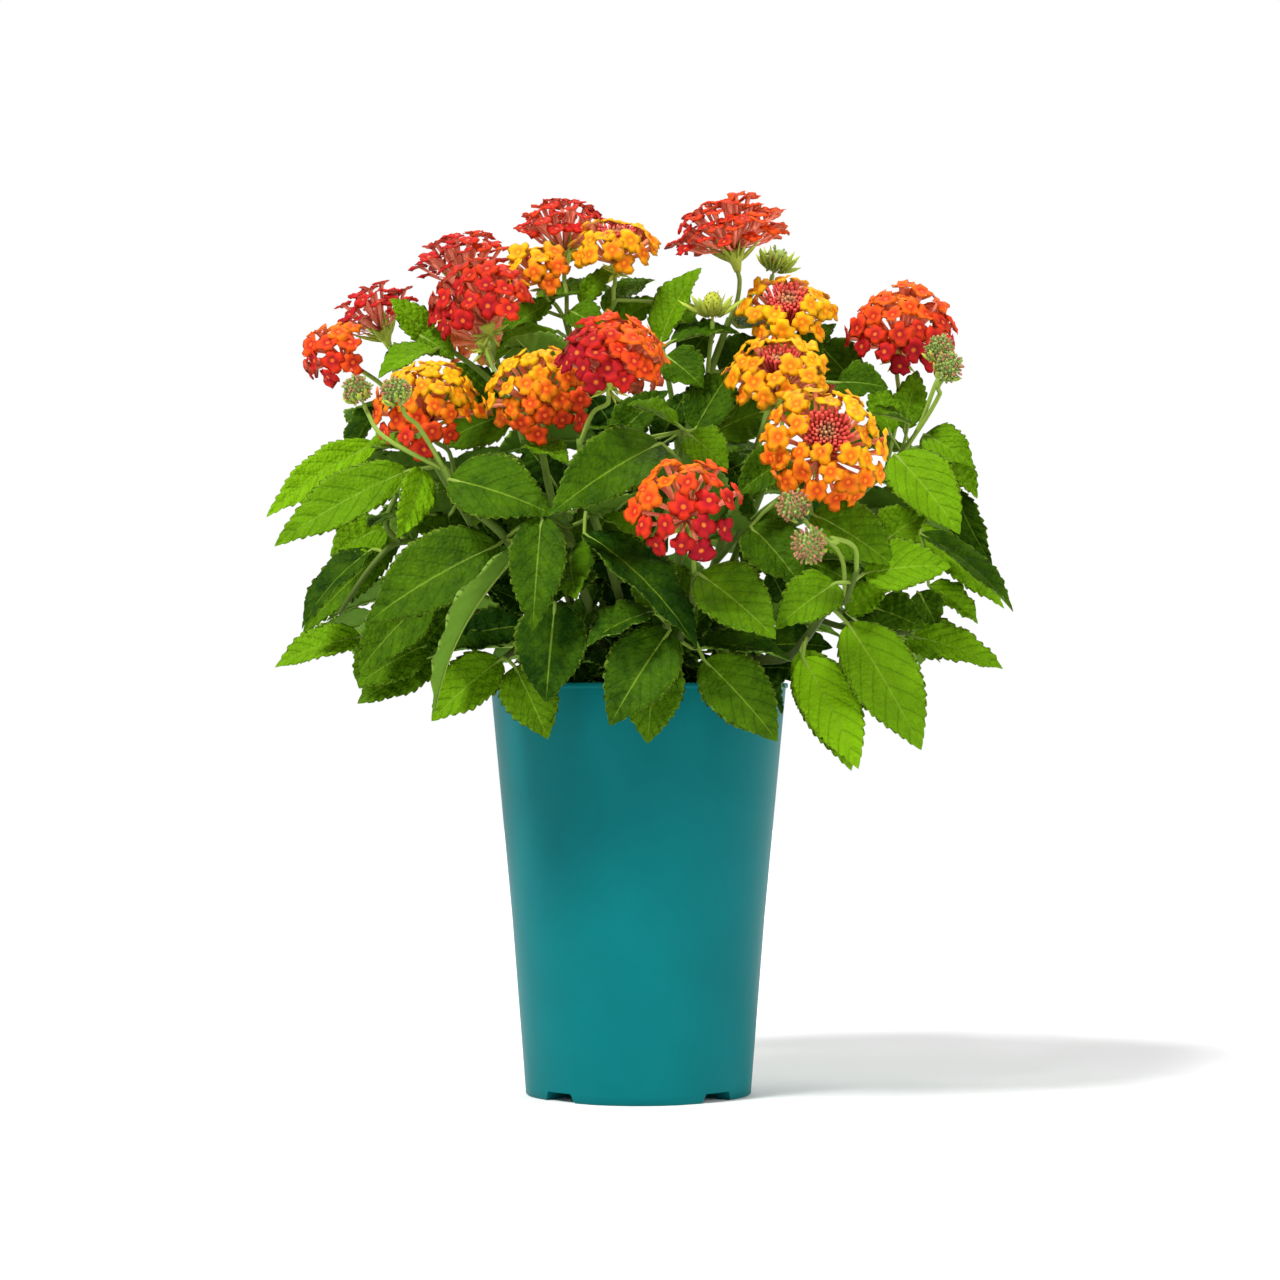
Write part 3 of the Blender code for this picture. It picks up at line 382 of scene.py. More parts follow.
# (name, stem, stalk from a branch point, centre, reach, spread, looks, receptacle share, how old its
# florets are, which way they get older, how wide the bud heart is, square mm for each floret)
BLOOMS = [
    ("bloom_top_centre", "stem_top_centre", [(-32, 16, 342), (-32, 24, 356)],
     (-33, 33, 371), 27, 64, (0, -0.12, 1), 0.24, 0.8, (0.1, 0, -0.05), 0, 74),
    ("bloom_top_orange", "stem_top_centre", [(-11, 4, 350), (-11, 3, 358)],
     (-10, -2, 371), 19, 85, (0.05, -0.45, 0.9), 0.5, 0.14, (0.05, 0, -0.08), 34, 84),
    ("bloom_top_small", "stem_top_centre", [(-32, 16, 342), (-37, 12, 350)],
     (-44, 2, 362), 15, 85, (-0.3, -0.5, 0.8), 0.5, 0.22, (0.25, 0, -0.15), 16, 84),
    ("bloom_top_left_back", "stem_top_left", [(-62, -6, 322), (-70, 12, 342)],
     (-76, 24, 358), 26, 64, (-0.2, -0.1, 1), 0.24, 0.8, (-0.15, 0, -0.05), 0, 74),
    ("bloom_top_left_front", "stem_top_left", [(-62, -6, 322), (-64, -14, 332)],
     (-68, -26, 343), 26, 78, (-0.3, -0.4, 0.86), 0.36, 0.82, (-0.08, 0, -0.12), 0, 100),
    ("bloom_left", "stem_left", [(-108, 0, 320), (-109, 8, 326)],
     (-113, 14, 336), 24, 64, (-0.4, -0.1, 0.9), 0.24, 0.88, (-0.05, 0, -0.05), 0, 74),
    ("bloom_far_left", "stem_left", [(-100, -8, 298), (-114, -8, 314), (-124, -9, 321)],
     (-133, -12, 327), 15, 85, (-0.6, -0.6, 0.4), 0.5, 0.62, (-0.12, 0, -0.25), 0, 86),
    ("bloom_left_orange", "stem_left", [(-80, -12, 262), (-84, -30, 284)],
     (-93, -52, 301), 23.5, 88, (-0.1, -0.75, 0.65), 0.5, 0.36, (-0.12, 0, -0.52), 0, 92),
    ("bloom_centre_orange", "stem_centre_left", [(-43, -50, 286), (-43, -46, 296)],
     (-44, -60, 307), 23, 90, (-0.1, -0.8, 0.6), 0.5, 0.34, (0.22, 0, -0.36), 0, 92),
    ("bloom_centre_crimson", "stem_centre", [(-26, -74, 288), (-20, -80, 302)],
     (-12, -94, 321), 23, 86, (0.1, -0.5, 0.85), 0.5, 0.8, (-0.34, 0, -0.22), 0, 78),
    ("bloom_top_right", "stem_top_right", [(40, 2, 342), (44, 5, 352)],
     (43, 4, 371), 29, 76, (-0.2, -0.12, 1), 0.22, 0.72, (-0.12, 0, -0.12), 0, 70),
    ("bloom_right_ring", "stem_right_upper", [(62, -10, 320), (66, -2, 332)],
     (66, -6, 342), 21, 85, (0, -0.7, 0.7), 0.5, 0.08, (0.0, 0, -0.04), 36, 100),
    ("bloom_right_middle", "stem_right_upper", [(54, -18, 290), (60, -34, 302)],
     (62, -46, 313), 23, 82, (0, -0.6, 0.8), 0.5, 0.12, (-0.04, 0, -0.1), 26, 96),
    ("bloom_right_large", "stem_right_upper", [(76, -70, 276), (80, -74, 280)],
     (82, -87, 285), 27, 92, (0.05, -0.92, 0.38), 0.5, 0.2, (-0.12, 0, -0.22), 28, 104),
    ("bloom_right", "stem_right", [(110, -16, 276), (116, 2, 306)],
     (117, 5, 333), 25, 92, (0.1, -0.6, 0.8), 0.42, 0.74, (0.0, 0, -0.36), 0, 104),
    ("bloom_front", "stem_front", [(25, -98, 228), (24, -103, 243)],
     (21, -117, 256), 24, 84, (-0.15, -0.85, 0.5), 0.36, 0.74, (0.2, 0, -0.36), 0, 130),
    ("bloom_back_left", "stem_back_left", [(-54, 62, 300), (-64, 76, 320)],
     (-70, 88, 335), 22, 85, (-0.3, 0.6, 0.75), 0.5, 0.42, (0, -0.6, -0.1), 0, 92),
    ("bloom_back_centre", "stem_back_centre", [(-4, 70, 290), (-8, 80, 306)],
     (-11, 92, 322), 23, 85, (0.1, 0.6, 0.8), 0.5, 0.3, (0.2, 0, -0.3), 0, 92),
    ("bloom_back_right", "stem_back_right", [(62, 56, 284), (64, 70, 302)],
     (66, 84, 317), 22, 85, (0.4, 0.6, 0.7), 0.5, 0.72, (0.1, 0, -0.2), 0, 92),
    ("bloom_back_low", "stem_back_low", [(-10, 102, 232), (-13, 116, 248)],
     (-15, 130, 262), 23, 88, (0, 0.9, 0.45), 0.5, 0.12, (0, 0, -0.12), 30, 92),
]


def real_place(place):
    """Where in space a place read from the front lies, in metres."""
    across, depth, up = place
    reach = (VIEW_DISTANCE + depth) / VIEW_DISTANCE
    return Vector((across * reach, depth, VIEW_HEIGHT + (up - VIEW_HEIGHT) * reach)) * MM


def bloom_seat(centre, looks, radius):
    """The end of the stalk, under what it carries."""
    return centre - looks * (radius + GAP) * MM


def aged(age):
    """The colour of a petal at an age from 0, just open, to 1."""
    age = min(max(age, 0), 0.999)
    for (low, young), (high, old) in zip(AGES, AGES[1:]):
        if age < high:
            return Vector(young).lerp(Vector(old), (age - low) / (high - low))


def form(profile, sides):
    """A turned trumpet or bud in unit sizes, with its foot at -1 and its mouth at 0."""
    bm = turned(profile, sides)
    bmesh.ops.holes_fill(bm, edges=bm.edges, sides=0)
    bmesh.ops.recalc_face_normals(bm, faces=bm.faces)
    mesh = bpy.data.meshes.new("form")
    bm.to_mesh(mesh)
    bm.free()
    return mesh


def sprout(bm, mesh, foot, tip, looks, width):
    """Adds a form whose tube bends from its foot to its mouth; returns (corner, unit place) pairs."""
    first = len(bm.verts)
    bm.from_mesh(mesh)
    bm.verts.ensure_lookup_table()
    side = looks.orthogonal().normalized()
    over = looks.cross(side)
    hold = tip.lerp(foot, 0.25) - looks * (tip - foot).length * 0.2
    added = []
    for corner in bm.verts[first:]:
        unit = corner.co / MM
        share = 1 + min(unit.z, 0)
        middle = foot * (1 - share) ** 2 + hold * 2 * share * (1 - share) + tip * share**2
        wide = side * unit.x + over * unit.y + looks * max(unit.z, 0)
        corner.co = middle + wide * width * MM
        added.append((corner, unit))
    return added


def floret(bm, tint, foot, tip, looks, age, size, draw):
    """One open floret: a coral tube and four ruffled lobes of unequal size about a throat darkened with
    painted shade.
    """
    width = FLORET_RADIUS * size * draw.uniform(*FLORET_SCATTER)
    longer = draw.uniform(0, 2 * math.pi)
    lift = [draw.uniform(*LOBE_LIFTS) for _ in range(4)]
    lit = draw.uniform(*LIGHTNESS)
    spun = Matrix.Rotation(draw.uniform(0, math.pi / 2), 3, looks)
    for corner, unit in sprout(bm, tube_form, foot, tip, looks, width):
        corner[tint] = (*aged(age).lerp(Vector(TUBE_COLOUR), TUBE_SHARE), 1)
    for corner, unit in sprout(bm, limb_form, foot, tip, looks, width):
        out = math.hypot(unit.x, unit.y)
        angle = math.atan2(unit.y, unit.x)
        fold = math.cos(2 * angle) ** 8
        away = corner.co - tip
        # Painted light on the lobes' edges, painted shade along the seams between the lobes
        colour = aged(age - PAINTED_RIM_LIGHT * out**3) * (1 - PAINTED_SEAM_SHADE * fold * (1 - out / 2))
        if out > LIMB_START:
            rim = (1 - LOBE_NOTCH * fold * out) * (1 + UNEVEN_LOBES * math.cos(angle - longer))
            rim *= draw.uniform(*RIM_SCATTER)
            lobe = lift[int(angle % (2 * math.pi) / (math.pi / 2))] * out**2
            lobe += draw.uniform(-RUFFLE, RUFFLE) - CREASE_DEPTH * fold
            rise = looks * away.dot(looks)
            away = rise + (away - rise) * rim + looks * lobe * width * MM
        elif unit.z > UPPER_FACE and out > THROAT:
            # Older, redder colour of the throat, darkened as painted shade where it opens into the tube
            colour = aged(age + THROAT_AGE) * THROAT_PAINTED_SHADE
        elif unit.z > UPPER_FACE:
            colour = aged(age).lerp(Vector(EYE_COLOUR), EYE_SHARE * age)
        else:
            colour = Vector(TUBE_COLOUR)
        corner.co = tip + spun @ away
        corner[tint] = (*colour * lit, 1)


def bract(bm, tint, foot, way, length, width, colour):
    """A narrow leafy bract, flat and pointed."""
    for corner, unit in sprout(bm, bract_form, foot, foot + way * length * MM, way, width):
        corner[tint] = (*Vector(colour) * (1.1 + 0.35 * min(unit.z, 0)), 1)


def around(looks, lean, turn):
    """A direction that leans away from another one, turned about it."""
    side = looks.orthogonal().normalized()
    over = looks.cross(side)
    return looks * math.cos(lean) + (side * math.cos(turn) + over * math.sin(turn)) * math.sin(lean)


petal_look, tree, shader = plain_look("lantana_petal", (0.8, 0.1, 0.02), 0.7, Specular_IOR_Level=0.15)
petal = node(tree, "ShaderNodeAttribute", (-800, 100), attribute_name="petal")
place = node(tree, "ShaderNodeTexCoord", (-1000, -100))
# One noise both raises the petals' small creases and scales their colour: a random mottle, with painted
# shade in the hollows and painted light on the ridges
crease = node(tree, "ShaderNodeTexNoise", (-800, -100), Scale=520, Detail=3)
shading = node(tree, "ShaderNodeMapRange", (-600, -100), To_Min=0.75, To_Max=1.15)
mottle_and_crease_shade = node(tree, "ShaderNodeVectorMath", (-400, 100), operation="SCALE")
fold = node(tree, "ShaderNodeBump", (-400, -150), Strength=0.35, Distance=0.0006)
wire(
    tree,
    (place, "Object", crease, "Vector"),
    (crease, "Fac", shading, "Value"),
    (petal, "Color", mottle_and_crease_shade, 0),
    (shading, "Result", mottle_and_crease_shade, "Scale"),
    (mottle_and_crease_shade, "Vector", shader, "Base Color"),
    (crease, "Fac", fold, "Height"),
    (fold, "Normal", shader, "Normal"),
)

tube_form = form(TUBE_PROFILE, 5)
limb_form = form(LIMB_PROFILE, 16)
bud_form = form(BUD_PROFILE, 4)
calyx_form = form(CALYX_PROFILE, 10)
bract_form = form(BRACT_PROFILE, 4)
bract_form.transform(Matrix.Diagonal((1, 0.35, 1, 1)))
for number, bloom_row in enumerate(BLOOMS):
    name, _, _, centre, reach, spread, looks, share, age, older, heart, room = bloom_row
    crown_height, calyx, nearest, outwards, along, size, bracts, leans, longer = (
        FAN if spread < FAN_SPREAD else DOME)
    draw = random.Random(number)
    looks = Vector(looks).normalized()
    centre = real_place(centre)
    seat = bloom_seat(centre, looks, reach * share)
    crown = seat.lerp(centre, 0.5) + looks * reach * crown_height * MM
    head = bmesh.new()
    tint = head.verts.layers.float_color.new("petal")
    for corner, unit in sprout(head, calyx_form, seat, crown, looks, reach * calyx):
        corner[tint] = (*BRACT_GREEN, 1)
    limit = 1 - math.cos(math.radians(spread))
    inner = 1 - math.cos(math.radians(heart))
    florets = round((limit - inner) * 2 * math.pi * reach**2 / room)
    for index in range(florets):
        lean = math.acos(1 - inner - (limit - inner) * (index + 0.5) / florets)
        out = around(looks, lean, index * GOLDEN_ANGLE + number)
        tip = centre + out * reach * draw.uniform(nearest, FARTHEST) * MM
        tilt = Vector([draw.uniform(-TILT, TILT) for _ in range(3)])
        faces = (out * outwards + looks * along + tilt).normalized()
        foot = crown + out * reach * RECEPTACLE * MM
        own = age + out.dot(Vector(older)) + draw.uniform(-AGE_SCATTER, AGE_SCATTER)
        floret(head, tint, foot, tip, faces, own, size, draw)
    buds = round(inner * 2 * math.pi * reach**2 / BUD_AREA)
    for index in range(buds):
        lean = math.acos(1 - inner * (index + 0.5) / buds)
        out = around(looks, lean, index * GOLDEN_ANGLE)
        raised = BUD_REACH + BUD_RISE * index / buds
        tip = centre + out * reach * raised * draw.uniform(*BUD_SCATTER) * MM
        foot = crown + out * reach * RECEPTACLE * MM
        redness = Vector(BUD_HEART).lerp(Vector(BUD_COLOUR), min(1, 0.2 + 2 * index / buds))
        redness *= draw.uniform(*HEART_SHADES)
        for corner, unit in sprout(head, bud_form, foot, tip, out, BUD_SIZE):
            corner[tint] = (*redness * (1 + 0.25 * unit.z), 1)
    for index in range(bracts):
        way = around(looks, math.radians(draw.uniform(*leans)), index * BRACT_TURN)
        long = reach * draw.uniform(*BRACT_LENGTHS) * longer
        bract(head, tint, seat.lerp(crown, BRACT_HEIGHT), way, long, BRACT_SIZE, BRACT_GREEN)
    bloom = finished(head, name.replace("bloom", "lantana_head"), [petal_look])
    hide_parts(name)
    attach(bloom, "root")


# Bud and seed heads: round heads of closed buds, green with blushed tips, on their own green core. One
# has dropped its florets and ripens yellow-green seeds, and one is a star of young bracts.
BUD_GREEN = (0.28, 0.37, 0.09)
BUD_BLUSH = (0.45, 0.17, 0.11)
SEED_GREEN = (0.46, 0.50, 0.05)
SEED_DOT = (0.06, 0.05, 0.02)
SEED_SLIM = 0.75
CORE_SHARE = 0.66
SEED_CORE_SHARE = 0.8
SEED_OUT = 0.77
SEED_LENGTH = 1.5
SEED_WIDTH = 0.6
BUD_OUT = (0.68, 1)
BUD_FOOT = 0.4
BALL_SHADES = (0.7, 1.25)
BALL_COVER = 1.85
YOUNG_LEANS = (18, 60)
YOUNG_LENGTHS = (0.8, 1.1)
COLLAR_DOWN = 0.8
COLLAR_OUT = 0.45
FOOT_SIZE = 1.7
YOUNG_BRACT_SIZE = 1.6
# (buds, bud size in mm, share that blushes, bracts, bract length in mm)
CLOSED = (120, 0.7, 0.4, 8, 6)
BLUSHED = (110, 0.75, 0.75, 4, 4)
SEEDS = (60, 0.6, 0, 13, 14)
STAR = (20, 0.7, 0.1, 20, 11)
BUD_HEADS = [
    ("buds_left_outer", "stem_front_left", [(-86, -80, 276), (-113, -78, 291)],
     (-125, -60, 312), 6.5, (-0.4, 0, 0.9), CLOSED),
    ("buds_left_inner", "stem_front_left", [(-86, -80, 276), (-98, -88, 296)],
     (-108, -92, 311), 6.5, (-0.4, 0, 0.9), CLOSED),
    ("seed_head_top", "stem_top_right", [(30, 0, 312), (32, -14, 332)],
     (33, -22, 350), 7, (0, -0.2, 1), SEEDS),
    ("buds_top_right", "stem_top_right", [(40, 2, 342), (54, 22, 358)],
     (62, 34, 370), 7, (0.3, 0, 0.9), STAR),
    ("buds_far_right_upper", "stem_right", [(110, -16, 276), (123, -28, 292), (132, -33, 314)],
     (134, -31, 330), 6.5, (0, 0, 1), CLOSED),
    ("buds_far_right_lower", "stem_right", [(110, -16, 276), (123, -28, 292), (134, -38, 310)],
     (138, -46, 322), 6.5, (0.4, -0.5, 0.8), CLOSED),
    ("buds_front_right_upper", "stem_front_right", [(92, -88, 218), (90, -102, 238), (78, -118, 250)],
     (69, -126, 260), 7, (-0.6, -0.4, 0.7), BLUSHED),
    ("buds_front_right_lower", "stem_front_right", [(97, -98, 231), (96, -110, 242), (86, -124, 246)],
     (76, -132, 243), 8, (-0.9, -0.3, -0.1), BLUSHED),
]
for number, (name, _, _, centre, radius, looks, kind) in enumerate(BUD_HEADS):
    count, size, blush, bracts, length = kind
    draw = random.Random(number)
    looks = Vector(looks).normalized()
    centre = real_place(centre)
    seat = bloom_seat(centre, looks, radius)
    seeds = kind == SEEDS
    ground = SEED_GREEN if seeds else BUD_GREEN
    head = bmesh.new()
    tint = head.verts.layers.float_color.new("petal")
    upright = Vector((0, 0, 1)).rotation_difference(looks).to_matrix()
    slim = SEED_SLIM if seeds else 1
    stretch = upright @ Matrix.Diagonal((slim, slim, 1)) @ upright.inverted()
    core_radius = radius * (SEED_CORE_SHARE if seeds else CORE_SHARE)
    core = bmesh.ops.create_icosphere(head, subdivisions=3, radius=core_radius * MM)
    bmesh.ops.transform(head, verts=core["verts"], matrix=Matrix.Translation(centre)
                        @ (stretch @ upright).to_4x4())
    for corner in core["verts"]:
        corner[tint] = (*ground, 1)
    middle = centre - looks * radius * 0.5 * MM
    for corner, unit in sprout(head, bud_form, seat, middle, looks, FOOT_SIZE):
        corner[tint] = (*ground, 1)
    for index in range(count):
        lean = math.acos(1 - BALL_COVER * (index + 0.5) / count)
        out = around(looks, lean, index * GOLDEN_ANGLE)
        if seeds:
            tip = centre + stretch @ out * radius * SEED_OUT * MM
            foot = tip - out * SEED_LENGTH * MM
        else:
            tip = centre + out * radius * draw.uniform(*BUD_OUT) * MM
            foot = centre + out * radius * BUD_FOOT * MM
        colour = Vector(SEED_DOT if seeds else BUD_BLUSH if draw.random() < blush else BUD_GREEN)
        colour *= draw.uniform(*BALL_SHADES)
        for corner, unit in sprout(head, bud_form, foot, tip, out, size * (SEED_WIDTH if seeds else 1)):
            corner[tint] = (*Vector(ground).lerp(colour, min(max(unit.z + 0.6, 0), 1)), 1)
    for index in range(bracts):
        turn = index * 2 * math.pi / bracts
        way = around(looks, math.radians(draw.uniform(*YOUNG_LEANS)), turn)
        foot = centre - looks * radius * COLLAR_DOWN * MM
        foot += around(looks, math.pi / 2, turn) * radius * COLLAR_OUT * MM
        long = length * draw.uniform(*YOUNG_LENGTHS)
        bract(head, tint, foot, way, long, YOUNG_BRACT_SIZE, BRACT_GREEN)
    ball_name = name.replace("buds", "bud_ball").replace("seed_head", "seed_ball")
    ball = finished(head, ball_name, [petal_look])
    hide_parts(name)
    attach(ball, "root")


# Leafy stems: soft green shoots, woody and brown near the soil, each grown in one with its side shoots,
# its flower stalks, opposite pairs of toothed, quilted leaves, whose stalks run on as the midribs, and
# the small leaves that sprout low down in its axils.
TRUNK_RADIUS = 2.5
TRUNK_TIP_RADIUS = 1.5
BRANCH_RADIUS = 1.55
BRANCH_TIP_RADIUS = 1.15
STALK_RADIUS = 1.0
STALK_LEAD = 4
TRUNK_ABOVE_SOIL = 4
TIP_PAST = 2
PETIOLE_RADIUS = 0.85
MIDRIB_RADIUS = 0.75
MIDRIB_TIP_RADIUS = 0.2
SMALL_STALK_RADIUS = 0.7
MIDRIB_EVERY = 6
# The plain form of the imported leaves, by which each blade finds the bend that its solid grew with
SOLID_THICKNESS = 1.7
SOLID_TOOTH_PITCH = 17
SOLID_TOOTH_DEPTH = 0.16
MIDRIB_STATIONS = (0.3, 0.66)
FOLD = 0.16
MATCH = 0.06
FEWEST_MATCHES = 3
# The form of the blades themselves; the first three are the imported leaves' too
WIDEST_RISE = 0.62
WIDEST_FALL = 0.95
ARCH = 0.06
BLADE_THICKNESS = 0.5
TOOTH_PITCH = 3.6
TOOTH_DEPTH = 1.05
# One tooth: (share of its pitch, how deep the edge is cut there)
TOOTH_SHAPE = [(0, 1), (0.36, 0.5), (0.7, 0.1), (0.9, 0.05)]
COLUMNS = 5
SMALL_COLUMNS = 3
VEINS = 6
VEIN_SWEEP = 1.1
VEIN_SCALE = 16
VEIN_START = 0.25
PUFF = 1.5
WAVE = 0.9
WAVE_COUNTS = (1.5, 3)
BLADE_DROOPS = (0.01, 0.07)
BLADE_TWIST = 0.12
SOFT_ENDS = 7
MIDRIB_SINK = 0.15
CUP = 0.26
TONE_GAMMA = 1.5
SHEEN_SCATTER = 0.08
LOOK_SEED = 3
AXIL_PAIRS = 5
AXIL_START = 0.7
AXIL_STEP = 13
AXIL_SCATTER = (0.9, 1.1)
AXIL_LEAN = 1.2
AXIL_OUT = 5
AXIL_LENGTHS = (22, 34)
# The small axil leaves low on the trunks are kept dark as painted shade
AXIL_TONES_IN_SHADE = (0, 0.3)
# The leaves' greens run from deep to bright by each leaf's tone, which is partly its own green and
# partly painted light and shade: the deep end stands in for leaves in shade
LEAF_DEEP = (0.008, 0.034, 0.001)
LEAF_BRIGHT = (0.175, 0.375, 0.003)
LEAF_RIB = (0.24, 0.38, 0.03)
UNDER_DEEP = (0.10, 0.21, 0.02)
UNDER_BRIGHT = (0.20, 0.37, 0.035)
UNDER_RIB = (0.30, 0.42, 0.09)
SHOOT_GREEN = (0.22, 0.33, 0.045)
STEM_BROWN = (0.035, 0.04, 0.012)
STEM_GREEN = (0.13, 0.22, 0.025)
# Where each look stands among a stem's materials
WOODY, UPPER_SIDE, UNDER_SIDE, YOUNG = range(4)

# Centre lines of each stem's branches, from (across, depth, up) places read from the front, in mm
BRANCHES = {
    "stem_left": [
        [(-26, 2, 172), (-50, -5, 215), (-80, -12, 262), (-100, -8, 298), (-108, 0, 320)],
        [(-50, -5, 215), (-78, -22, 240), (-106, -38, 244), (-118, -42, 234), (-132, -45, 214)],
        [(-106, -38, 244), (-112, -42, 252), (-108, -40, 264)],
        [(-50, -5, 215), (-78, -22, 212), (-104, -30, 205), (-115, -27, 203)],
    ],
    "stem_front_left": [
        [(-20, -20, 172), (-38, -55, 212), (-59, -85, 246), (-78, -82, 263), (-86, -80, 276)],
        [(-38, -55, 212), (-48, -70, 202), (-58, -78, 194)],
        [(-38, -55, 212), (-38, -80, 216)],
    ],
    "stem_top_left": [
        [(-10, 6, 172), (-28, 2, 240), (-50, -5, 298), (-62, -6, 322)],
        [(-50, -5, 298), (-68, -12, 318), (-84, -14, 330)],
    ],
    "stem_centre_left": [
        [(-8, -14, 172), (-24, -45, 222), (-38, -56, 262), (-43, -50, 286)],
    ],
    "stem_centre": [
        [(2, -10, 172), (-10, -42, 225), (-24, -68, 270), (-26, -74, 288)],
        [(-10, -42, 225), (10, -52, 252), (18, -64, 278), (20, -58, 292)],
    ],
    "stem_top_centre": [
        [(-4, 10, 172), (-14, 12, 250), (-26, 12, 318), (-32, 16, 342)],
        [(-26, 12, 318), (-16, 8, 340), (-11, 4, 350)],
    ],
    "stem_top_right": [
        [(8, 8, 172), (20, 6, 250), (30, 0, 312), (40, 2, 342)],
        [(20, 6, 250), (16, -6, 300), (11, -16, 328)],
    ],
    "stem_right_upper": [
        [(16, -2, 172), (34, -10, 235), (54, -18, 290), (62, -10, 320)],
        [(34, -10, 235), (52, -40, 255), (66, -60, 266), (76, -70, 276)],
    ],
    "stem_right": [
        [(24, 4, 172), (56, 0, 222), (90, -8, 258), (110, -16, 276)],
        [(56, 0, 222), (85, -18, 208), (110, -30, 204), (120, -32, 204)],
        [(90, -8, 258), (112, -12, 250), (124, -18, 250)],
        [(110, -16, 276), (124, -2, 286), (134, 4, 280)],
    ],
    "stem_front": [
        [(4, -26, 172), (14, -58, 194), (23, -88, 212), (25, -98, 228)],
        [(14, -58, 194), (12, -78, 204), (12, -90, 208)],
    ],
    "stem_front_right": [
        [(26, -18, 172), (46, -34, 190), (66, -54, 193), (74, -66, 201), (83, -78, 213), (92, -88, 218)],
        [(92, -88, 218), (97, -98, 231)],
    ],
    "stem_back_left": [
        [(-16, 20, 172), (-38, 42, 240), (-54, 62, 300)],
        [(-38, 42, 240), (-72, 50, 262), (-96, 52, 276)],
        [(-38, 42, 240), (-74, 62, 226), (-104, 68, 214)],
    ],
    "stem_back_centre": [
        [(0, 24, 172), (2, 48, 236), (-4, 70, 290)],
        [(2, 48, 236), (20, 84, 262)],
        [(2, 48, 236), (-34, 82, 272)],
    ],
    "stem_back_low": [
        [(6, 34, 172), (-4, 72, 205), (-10, 102, 232)],
        [(-4, 72, 205), (-40, 92, 208)],
        [(-4, 72, 205), (34, 96, 210)],
    ],
    "stem_back_right": [
        [(18, 18, 172), (44, 38, 240), (62, 56, 284)],
        [(44, 38, 240), (84, 48, 258), (108, 48, 262)],
        [(44, 38, 240), (78, 62, 218), (106, 66, 208)],
    ],
}

FRONT = (0, -1, 0.45)
SLANT = (0, -0.85, 0.65)
TOP = (0, -0.45, 1)
LEFT = (-0.7, -0.75, 0.4)
RIGHT = (0.7, -0.75, 0.4)
UP_LEFT = (-0.77, 0.2, 0.64)
UNDER = (0.1, 1, 0.25)
